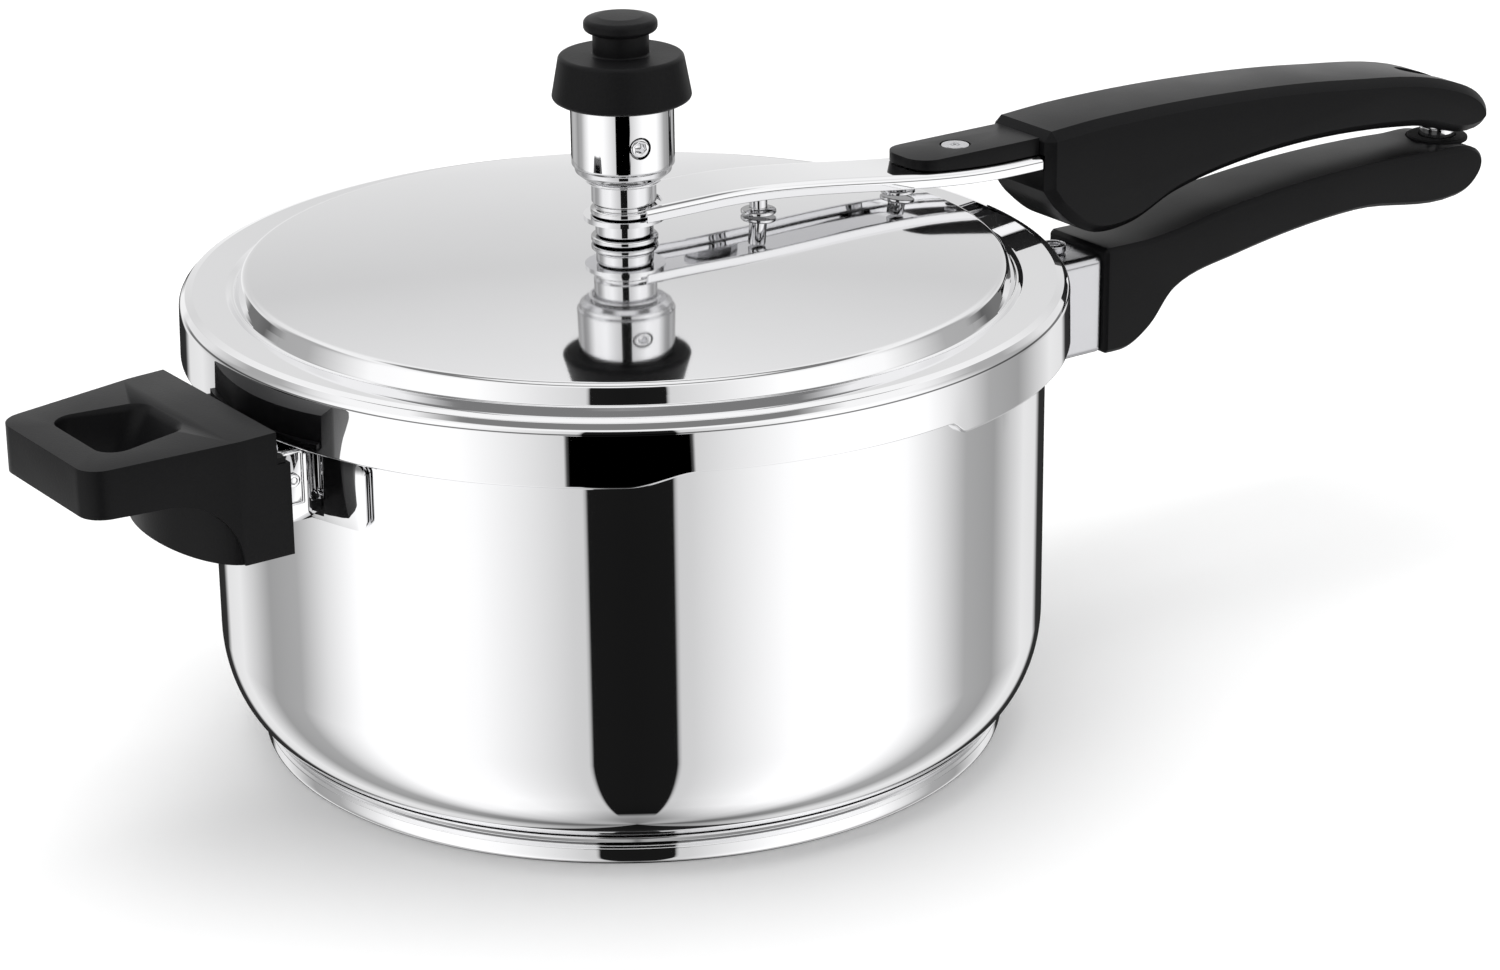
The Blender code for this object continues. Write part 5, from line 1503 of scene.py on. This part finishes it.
@dataclass
class HelperHandle:
    """The small handle across from the long ones, and its bracket."""

    shop: Workshop
    pot: Pot
    lid: Lid
    thickness: float = 0.0128
    tilt: float = 0.0015
    block_length: float = 0.0125
    nose: float = 0.0090
    straight: float = 0.0120
    taper: float = 0.0045
    corner: float = 0.0060
    edge: float = 0.0022
    clearance: float = 0.0042
    rim: float = 0.0085
    hole_length: float = 0.0220
    hole_lower: float = 0.0165
    hole_outer: float = 0.0155
    hole_inner: float = 0.0100
    hole_corner: float = 0.0050
    hole_rim: float = 0.0022
    sheet: float = 0.0012
    pad_half: float = math.radians(21.4)
    slot_inset: float = 0.0012
    slot_width: float = 0.0040
    web: float = 0.0068

    def __post_init__(self) -> None:
        """Reads the driving sizes from the frame."""
        low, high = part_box("helper_handle")
        self.end, self.root = low[0], high[0]
        self.low, self.top = low[2], high[2]
        self.half = high[1]
        bracket_low, bracket_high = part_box("helper_bracket")
        self.bracket_low, self.bracket_top = bracket_low[2], bracket_high[2]
        self.bracket_half = 0.0200

    def build(self) -> None:
        """Makes the bracket, the grip and its screw."""
        self.bracket()
        self.grip()
        self.screw()

    def side(self) -> list:
        """The grip's side: a slab over a block, with a hollow curve between them."""
        skirt = -(self.lid.radius + self.clearance)
        slab_low = self.top - self.thickness
        corner = self.root - self.block_length
        rise = slab_low - self.low
        return [
            (skirt, self.top),
            (self.end, self.top - self.tilt),
            (self.end, slab_low),
            *arc((corner - rise, self.low), (rise, rise), 90, 0, 16),
            (self.root, self.low),
            (self.root, self.bracket_top),
            (skirt, self.bracket_top),
        ]

    def grip(self) -> None:
        """The moulded grip with its finger hole, rounded all over."""
        grip = prism("helper_grip", self.side(), -self.half, self.half, "Y")
        inner = self.half - self.taper
        start = self.root - self.straight
        plan = rounded_path(
            [
                (self.root + 0.001, -self.half),
                (self.root + 0.001, self.half),
                (start, self.half, 0.02),
                (self.end, inner, self.corner),
                (self.end, -inner, self.corner),
                (start, -self.half, 0.02),
            ],
            closed=True,
        )
        combine(grip, prism("plan", plan, self.low - CUT, self.top + CUT), "INTERSECT")
        soften(grip, self.edge, 4, 40)
        half = self.half - 0.0004
        end = self.root - self.block_length + 0.002
        nose = [(self.root - 0.001, half), *arc((end, 0.0), (self.nose + 0.002, half), 90, 270, 40)]
        nose.append((self.root - 0.001, -half))
        combine(grip, prism("nose", nose, self.low, self.top - self.thickness / 2), "UNION")
        room = rod("skirt_room", self.lid.radius + self.clearance, self.bracket_top, self.top + CUT)
        combine(grip, room)
        combine(grip, self.finger_hole())
        self.shop.done(grip, Body.POT, Slot.RESIN, ("helper_handle",), self.shop.finish.resin)

    def finger_hole(self) -> bpy.types.Object:
        """The cutter of the finger hole: shorter at the bottom, and flared into a round rim."""
        start = self.end + self.rim
        finish = start + self.hole_length
        taper = 1 - self.hole_lower / self.hole_length
        levels = [(self.top - 2 * self.thickness, 0.0), (self.top - self.hole_rim, 0.0)]
        for i in range(1, 9):
            angle = math.radians(90 * i / 8)
            level = self.top - self.hole_rim * (1 - math.sin(angle))
            levels.append((level, self.hole_rim * (1 - math.cos(angle))))
        levels.append((self.top + self.hole_rim, self.hole_rim))
        rings = []
        for z, grow in levels:
            drop = max(self.top - z, 0.0) / self.thickness
            turn = self.hole_corner + grow
            outline = rounded_path(
                [
                    (start - grow, -self.hole_outer - grow, turn),
                    (start - grow, self.hole_outer + grow, turn),
                    (finish + grow, self.hole_inner + grow, turn),
                    (finish + grow, -self.hole_inner - grow, turn),
                ],
                closed=True,
            )
            rings.append([(start + (x - start) * (1 - drop * taper), y, z) for x, y in outline])
        return loft("finger_hole", rings)

    def bracket(self) -> None:
        """A channel with slotted pads on the pot's wall, a raised ear and a rivet on each side."""
        half = self.bracket_half
        front = self.root + GAP
        back = -self.pot.radius * math.cos(self.pad_half)
        outline = [(front, -half, 0.0014), (back, -half), (back, half), (front, half, 0.0014)]
        ends = (self.bracket_low, self.bracket_top)
        plate = prism("helper_channel", rounded_path(outline, closed=True), *ends)
        inside = half - self.sheet
        outline = [(front + self.sheet, -inside, 0.0006), (0.0, -inside), (0.0, inside)]
        outline.append((front + self.sheet, inside, 0.0006))
        combine(plate, prism("room", rounded_path(outline, closed=True), 0.0, self.top + CUT))
        radius = self.pot.radius + GAP
        edge_angle = math.asin((half - self.sheet / 2) / (radius + self.sheet))
        for side in (1, -1):
            angles = sorted((math.pi + side * edge_angle, math.pi + side * self.pad_half))
            span = (self.bracket_low + 0.0006, self.bracket_top - 0.0006)
            pad = bent_plate("pad", radius, self.sheet, span, tuple(angles), 0.0028)
            combine(plate, pad, "UNION")
            near = half + self.slot_inset
            edges = sorted((-side * near, -side * (near + self.slot_width)))
            opening = [(self.root, edges[0]), (0.0, edges[0]), (0.0, edges[1]), (self.root, edges[1])]
            combine(plate, prism("slot", opening, self.bracket_low + self.web, self.top + CUT))
        combine(plate, rod("pot_room", radius, 0.0, self.pot.height))
        combine(plate, self.tongue(), "UNION")
        soften(plate, 0.0003, 2, 60)
        finish = self.shop.finish.mirror
        self.shop.done(plate, Body.POT, Slot.POLISHED, ("helper_bracket",), finish)
        self.ears()

    def tongue(self) -> bpy.types.Object:
        """The plate's tongue, which the grip holds."""
        low = (self.bracket_top + self.bracket_low) / 2
        outline = [
            (self.root - 0.012, -0.008),
            (self.root - 0.012, 0.008),
            (self.root + 0.001, 0.008),
            (self.root + 0.001, -0.008),
        ]
        return prism("tongue", outline, low, low + 0.0024)

    def ears(self) -> None:
        """A raised rim round each side wall's rivet, and the rivets themselves."""
        x_low, x_high = self.root + 0.0012, self.root + 0.0066
        z_low, z_high = self.bracket_low + 0.0040, self.bracket_top - 0.0002
        finish = self.shop.finish.mirror
        ears, inset = None, 0.0006
        for side in (1, -1):
            outline = rectangle((x_low, z_low), (x_high, z_high), 0.0006)
            low, high = (x_low + inset, z_low + inset), (x_high - inset, z_high - inset)
            inner = rectangle(low, high, 0.0004)
            y = sorted((side * (self.bracket_half - 0.0002), side * (self.bracket_half + 0.0005)))
            rim = prism("ear", outline, *y, "Y")
            pit = sorted((side * (self.bracket_half + 0.0001), side * (self.bracket_half + 0.001)))
            combine(rim, prism("pit", inner, *pit, "Y"))
            soften(rim, 0.00015, 2, 50)
            if ears is None:
                ears = rim
                ears.name = "bracket_ears"
            else:
                combine(ears, rim, "UNION")
        self.shop.done(ears, Body.POT, Slot.POLISHED, (), finish)
        middle = ((x_low + x_high) / 2, (z_low + z_high) / 2 - 0.0005)
        places = []
        for side in (1, -1):
            place = (middle[0], side * (self.bracket_half + 0.0001), middle[1])
            places.append((place, (0.0, float(side), 0.0)))
        head = Head(0.0016, 0.0006, 0.0008, 0.0003, 0.00025, 24)
        rivets = self.shop.heads.make("bracket_rivets", places, head, finish)
        self.shop.done(rivets, Body.POT, Slot.POLISHED, (), finish)

    def screw(self) -> None:
        """The screw from below that holds the grip to the tongue."""
        head = Head(0.0041, 0.0025, 0.0022, 0.0014)
        under = Screw("helper_screw", "helper_handle_screw", head, 0.0021, is_upside_down=True)
        under.build(self.shop, Body.POT)


@dataclass
class Weight:
    """The pressure weight on the vent, with its cap, knob, set screw and wire clip."""

    shop: Workshop
    screw_angle: float = math.radians(-104)
    screw_rise: float = 0.0094
    screw_radius: float = 0.0024

    def __post_init__(self) -> None:
        """Reads the driving sizes from the frame."""
        _, self.radius, self.low, self.top = upright("weight_body")
        _, self.sleeve, self.sleeve_low, self.sleeve_top = upright("weight_sleeve")
        _, pipe, _, pipe_top = upright("vent_pipe")
        self.bore = pipe + 0.0005
        self.seat = pipe_top + GAP

    def build(self) -> None:
        """Makes the weight from the bottom up."""
        self.sleeve_piece()
        self.body()
        self.set_screw()
        self.knob()
        self.clip()
        dress("weight_centre_screw", self.shop.finish.satin)

    def sleeve_piece(self) -> None:
        """The sleeve under the weight, with a groove near its foot."""
        low, high, radius = self.sleeve_low, self.sleeve_top, self.sleeve
        profile = [
            (self.bore, high, 0.0002),
            (radius - 0.0003, high, 0.0004),
            (radius - 0.0003, low + 0.0030, 0.0002),
            (radius - 0.0009, low + 0.0024, 0.0002),
            (radius - 0.0009, low + 0.0017, 0.0002),
            (radius, low + 0.0013, 0.0004),
            (radius, low, 0.0004),
            (self.bore, low, 0.0002),
        ]
        finish = self.shop.finish.small
        obj = self.shop.turn("weight_foot", profile, MEDIUM_STEPS, finish)
        self.shop.done(obj, Body.WEIGHT, Slot.POLISHED, ("weight_sleeve",), finish)

    def body(self) -> None:
        """The turned weight, with a stepped foot and the set screw's hole."""
        low, radius = self.low, self.radius
        screw = upright("weight_centre_screw")[1] + GAP
        profile = [
            (screw, self.top),
            (radius, self.top, 0.0004),
            (radius, low + 0.0030, 0.0006),
            (radius - 0.0006, low + 0.0024, 0.0004),
            (radius - 0.0008, low + 0.0012, 0.0007),
            (radius - 0.0022, low, 0.0006),
            (self.bore, low, 0.0003),
            (self.bore, self.seat),
            (screw, self.seat),
        ]
        finish = self.shop.finish.small
        obj = self.shop.turn("chrome_weight", profile, MEDIUM_STEPS * 2, finish)
        ends = (self.radius - 0.0052, self.radius + CUT)
        combine(obj, rod("hole", self.screw_radius + GAP, *ends, self.screw_place()))
        self.shop.done(obj, Body.WEIGHT, Slot.POLISHED, ("weight_body",), finish)

    def screw_place(self) -> Matrix:
        """The set screw's place, with Z pointing out of the weight."""
        turn = Matrix.Rotation(self.screw_angle, 4, "Z") @ Matrix.Rotation(math.radians(90), 4, "Y")
        return Matrix.Translation((0.0, 0.0, self.low + self.screw_rise)) @ turn

    def set_screw(self) -> None:
        """The hollow-hex screw in the weight's side, with a bright rim."""
        outward = Vector((math.cos(self.screw_angle), math.sin(self.screw_angle), 0.0))
        start = outward * (self.radius - 0.0048)
        start.z = self.low + self.screw_rise
        head = Head(self.screw_radius - 0.0001, 0.0047, 0.0013, 0.0020, 0.0005)
        finish = self.shop.finish.mirror
        obj = self.shop.heads.make("side_screw", [(tuple(start), tuple(outward))], head, finish)
        self.shop.done(obj, Body.WEIGHT, Slot.SATIN, ("weight_set_screw",), finish)

    def knob(self) -> None:
        """The black cap and its knob."""
        _, outer, low, high = upright("weight_knob")
        cap_top = low + 0.0112
        neck_top = cap_top + 0.0054
        knob_radius, neck = 0.0088, 0.0067
        _, screw, _, screw_top = upright("weight_centre_screw")
        bore, top = screw + GAP, screw_top + GAP
        profile = [
            (0.0, high),
            (knob_radius * 0.62, high - 0.0001, 0.002),
            (knob_radius, high - 0.0009, 0.0013),
            (knob_radius, neck_top + 0.0004, 0.0013),
            (neck, neck_top - 0.0001, 0.0005),
            (neck, cap_top, 0.0005),
            (outer - 0.0019, cap_top, 0.0011),
            (outer, low + 0.0008, 0.0012),
            (outer - 0.0014, low, 0.0006),
            (bore, low),
            (bore, top),
            (0.0, top),
        ]
        finish = self.shop.finish.knob
        obj = self.shop.turn("cap_and_knob", profile, MEDIUM_STEPS * 2, finish)
        self.shop.done(obj, Body.WEIGHT, Slot.RESIN, ("weight_knob",), finish)

    def clip(self) -> None:
        """The wire clip that keeps the weight on the vent, an open ring of wire."""
        low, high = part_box("weight_clip")
        wire = (high[2] - low[2]) / 2
        middle = (low[2] + high[2]) / 2
        finish = self.shop.finish.mirror
        ring = WireRing(-low[0] - wire, wire, middle, 50, 260)
        obj = self.shop.rings.make("wire_clip", ring, finish)
        self.shop.done(obj, Body.WEIGHT, Slot.POLISHED, ("weight_clip",), finish)


# ---------------------------------------------------------------- studio


@dataclass(frozen=True)
class View:
    """Where the camera stands, in metres and degrees, seen from the lid's flange."""

    distance: float = 0.9836
    rise: float = 17.81
    yaw: float = 1.80
    pitch: float = 20.84
    roll: float = -0.56
    lens: float = 98.05
    turn: float = 33.5
    height: float = 0.1139

    def matrix(self) -> Matrix:
        """The camera's place and turn."""
        rise, yaw, pitch, roll, turn = (
            math.radians(a) for a in (self.rise, self.yaw, self.pitch, self.roll, self.turn)
        )
        place = Vector((0.0, -self.distance * math.cos(rise), self.distance * math.sin(rise)))
        ahead = Vector((math.sin(yaw) * math.cos(pitch), math.cos(yaw) * math.cos(pitch), -math.sin(pitch)))
        right = Vector((math.cos(yaw), -math.sin(yaw), 0.0))
        up = right.cross(ahead)
        side = math.cos(roll) * right + math.sin(roll) * up
        top = -math.sin(roll) * right + math.cos(roll) * up
        turned = Matrix.Rotation(-turn, 3, "Z")
        columns = Matrix((turned @ side, turned @ top, turned @ -ahead)).transposed()
        found = columns.to_4x4()
        found.translation = turned @ place + Vector((0.0, 0.0, self.height))
        return found


@dataclass
class Studio:
    """A pale floor, soft light, dark flags in the surroundings and the camera."""

    view: View = field(default_factory=View)
    floor_size: float = 12.0

    def build(self) -> None:
        """Sets up the studio."""
        self.floor()
        self.surroundings()
        self.lights()
        self.camera()

    def floor(self) -> None:
        """A matt pale floor, which the polished steel doesn't mirror."""
        shape = bmesh.new()
        bmesh.ops.create_grid(shape, x_segments=8, y_segments=8, size=self.floor_size / 2)
        mesh = bpy.data.meshes.new("studio_floor")
        shape.to_mesh(mesh)
        shape.free()
        floor = link(bpy.data.objects.new("studio_floor", mesh))
        made = bpy.data.materials.new("studio_floor")
        made.use_nodes = True
        shader = made.node_tree.nodes["Principled BSDF"]
        shader.inputs["Base Color"].default_value = (0.94, 0.94, 0.94, 1.0)
        shader.inputs["Roughness"].default_value = 1.0
        shader.inputs["Specular IOR Level"].default_value = 0.0
        mesh.materials.append(made)
        floor.visible_glossy = False

    def surroundings(self) -> None:
        """White walls with dark flags, laid out by direction."""
        world = bpy.data.worlds.new("studio")
        bpy.context.scene.world = world
        world.use_nodes = True
        tree = world.node_tree
        nodes = NodeTree(tree)
        facing = Vector((math.sin(math.radians(self.view.turn)), math.cos(math.radians(self.view.turn))))
        towards_camera = math.atan2(-facing.y, -facing.x)
        way = nodes.add("ShaderNodeTexCoord").outputs["Generated"]
        turned = nodes.add("ShaderNodeVectorRotate", rotation_type="Z_AXIS")
        nodes.feed(turned.inputs["Vector"], way)
        nodes.feed(turned.inputs["Angle"], -towards_camera)
        split = nodes.add("ShaderNodeSeparateXYZ", turned.outputs[0]).outputs
        around = nodes.math("ABSOLUTE", nodes.math("ARCTAN2", split[1], split[0]))
        share = nodes.math("DIVIDE", around, math.pi)
        rise = nodes.math("DIVIDE", nodes.math("ARCSINE", split[2]), math.pi / 2)
        height = nodes.math("MULTIPLY_ADD", rise, 0.5, 0.5)
        below = nodes.math("MULTIPLY", self.ramp(nodes, share, BELOW), self.ramp(nodes, height, UNDER))
        is_below = nodes.add("ShaderNodeMapRange", rise, -0.05, -0.13, 0.0, 1.0).outputs[0]
        above = self.mix(nodes, self.ramp(nodes, height, LOW_SKY), 1.0, self.ramp(nodes, share, ABOVE))
        above = nodes.math("MULTIPLY", above, self.ramp(nodes, height, CEILING))
        light = self.mix(nodes, is_below, above, below)
        behind = self.mix(nodes, self.ramp(nodes, share, BACK), 1.0, self.ramp(nodes, height, BACK_HEIGHT))
        light = nodes.math("MULTIPLY", light, behind)
        for width, band in ((NARROW, NARROW_HEIGHT), (WIDE, WIDE_HEIGHT), (HORIZON, HORIZON_HEIGHT)):
            blocked = nodes.math("MULTIPLY", self.ramp(nodes, share, width), self.ramp(nodes, height, band))
            light = nodes.math("MULTIPLY", light, nodes.math("SUBTRACT", 1.0, blocked))
        background = tree.nodes["Background"]
        nodes.feed(background.inputs["Color"], light)

    def mix(self, nodes: NodeTree, share: object, low: object, high: object) -> bpy.types.NodeSocket:
        """A number between two others."""
        spread = nodes.add("ShaderNodeMapRange", share, 0.0, 1.0, low, high)
        return spread.outputs[0]

    def ramp(self, nodes: NodeTree, feed: object, stops: tuple) -> bpy.types.NodeSocket:
        """A Color Ramp's result, from (place, value) stops."""
        ramp = nodes.add("ShaderNodeValToRGB", feed)
        elements = ramp.color_ramp.elements
        while len(elements) > 1:
            elements.remove(elements[0])
        for index, (place, value) in enumerate(stops):
            element = elements[0] if index == 0 else elements.new(place)
            element.position = place
            element.color = (value, value, value, 1.0)
        return ramp.outputs[0]

    def lights(self) -> None:
        """One broad soft light from above."""
        light = bpy.data.lights.new("overhead", "AREA")
        light.shape = "RECTANGLE"
        light.size = 2.4
        light.size_y = 1.8
        light.energy = 30.0
        lamp = link(bpy.data.objects.new("overhead", light))
        lamp.location = (0.0, 0.3, 1.9)
        lamp.visible_glossy = False

    def camera(self) -> None:
        """The camera, with everything in focus."""
        data = bpy.data.cameras.new("camera")
        data.sensor_width = 36.0
        data.lens = self.view.lens
        data.dof.use_dof = False
        data.clip_start = 0.01
        camera = link(bpy.data.objects.new("camera", data))
        camera.matrix_world = self.view.matrix()
        bpy.context.scene.camera = camera


def around(degrees: float) -> float:
    """An angle from the camera's direction as a share of half a turn."""
    return degrees / 180


def up(degrees: float) -> float:
    """A height over the horizon as a share of the way from straight down to straight up."""
    return 0.5 + degrees / 180


BELOW = (
    (around(0), 0.60),
    (around(16), 0.68),
    (around(26), 0.84),
    (around(42), 1.08),
    (around(60), 1.20),
    (around(80), 1.10),
    (around(92), 0.80),
    (around(104), 0.42),
    (around(118), 0.36),
    (around(128), 0.64),
    (around(138), 0.86),
    (around(150), 0.80),
    (around(155), 0.03),
    (around(180), 0.02),
)
ABOVE = (
    (around(0), 0.60),
    (around(26), 0.84),
    (around(50), 1.15),
    (around(80), 1.05),
    (around(104), 0.45),
    (around(118), 0.42),
    (around(132), 0.90),
    (around(180), 1.0),
)
LOW_SKY = ((up(-90), 0.0), (up(0), 1.0), (up(32), 1.0), (up(42), 0.0), (up(90), 0.0))
CEILING = ((up(-90), 1.0), (up(50), 1.0), (up(55), 0.22), (up(64), 0.22), (up(70), 1.0), (up(90), 1.0))
UNDER = ((up(-90), 0.32), (up(-80), 0.42), (up(-66), 0.9), (up(-56), 1.0), (up(90), 1.0))
NARROW = ((around(0), 0.985), (around(11.6), 0.985), (around(12.1), 0.0), (around(180), 0.0))
NARROW_HEIGHT = ((up(-90), 0.0), (up(-76), 0.0), (up(-72), 1.0), (up(34), 1.0), (up(36), 0.0))
WIDE = ((around(0), 1.0), (around(15.4), 1.0), (around(15.9), 0.0), (around(180), 0.0))
WIDE_HEIGHT = ((up(-90), 0.0), (up(-20), 0.0), (up(-19), 1.0), (up(-12), 1.0), (up(-11), 0.0), (up(90), 0.0))
HORIZON = ((around(0), 0.8), (around(140), 0.8), (around(150), 0.0), (around(180), 0.0))
HORIZON_HEIGHT = ((up(-90), 0.0), (up(-9), 0.0), (up(-6), 1.0), (up(3), 1.0), (up(6), 0.0), (up(90), 0.0))
BACK = ((around(0), 0.0), (around(120), 0.0), (around(150), 1.0), (around(180), 1.0))
BACK_HEIGHT = ((up(-90), 1.0), (up(3), 1.0), (up(8), 0.86), (up(20), 0.74), (up(30), 0.95), (up(38), 1.0))


def set_up_scene() -> None:
    """Empties the scene of what Blender starts with and sets plain colours."""
    for name in ("Cube", "Light", "Camera"):
        found = bpy.data.objects.get(name)
        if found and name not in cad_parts:
            bpy.data.objects.remove(found, do_unlink=True)
    bpy.context.scene.view_settings.view_transform = "Standard"


def main() -> None:
    """Builds every sub-assembly in order, then the studio."""
    logging.basicConfig(level=logging.INFO, format="%(name)s %(message)s")
    set_up_scene()
    dome_radius = upright("lid_shell")[1] - DOME_INSET
    shop = Workshop(TurnedTree(), HeadTree(), RingTree(), Library(dome_radius))
    pot = Pot(shop)
    lid = Lid(shop)
    strap = Strap(shop, lid)
    assemblies = (
        pot,
        BodyHandle(shop, pot),
        HelperHandle(shop, pot, lid),
        Seal(shop),
        lid,
        Vent(shop),
        strap,
        LidHandle(shop, strap),
        Weight(shop),
    )
    for assembly in assemblies:
        assembly.build()
    Studio().build()
    LOG.info("%d pieces made", len(shop.made))


if __name__ == "__main__":
    main()
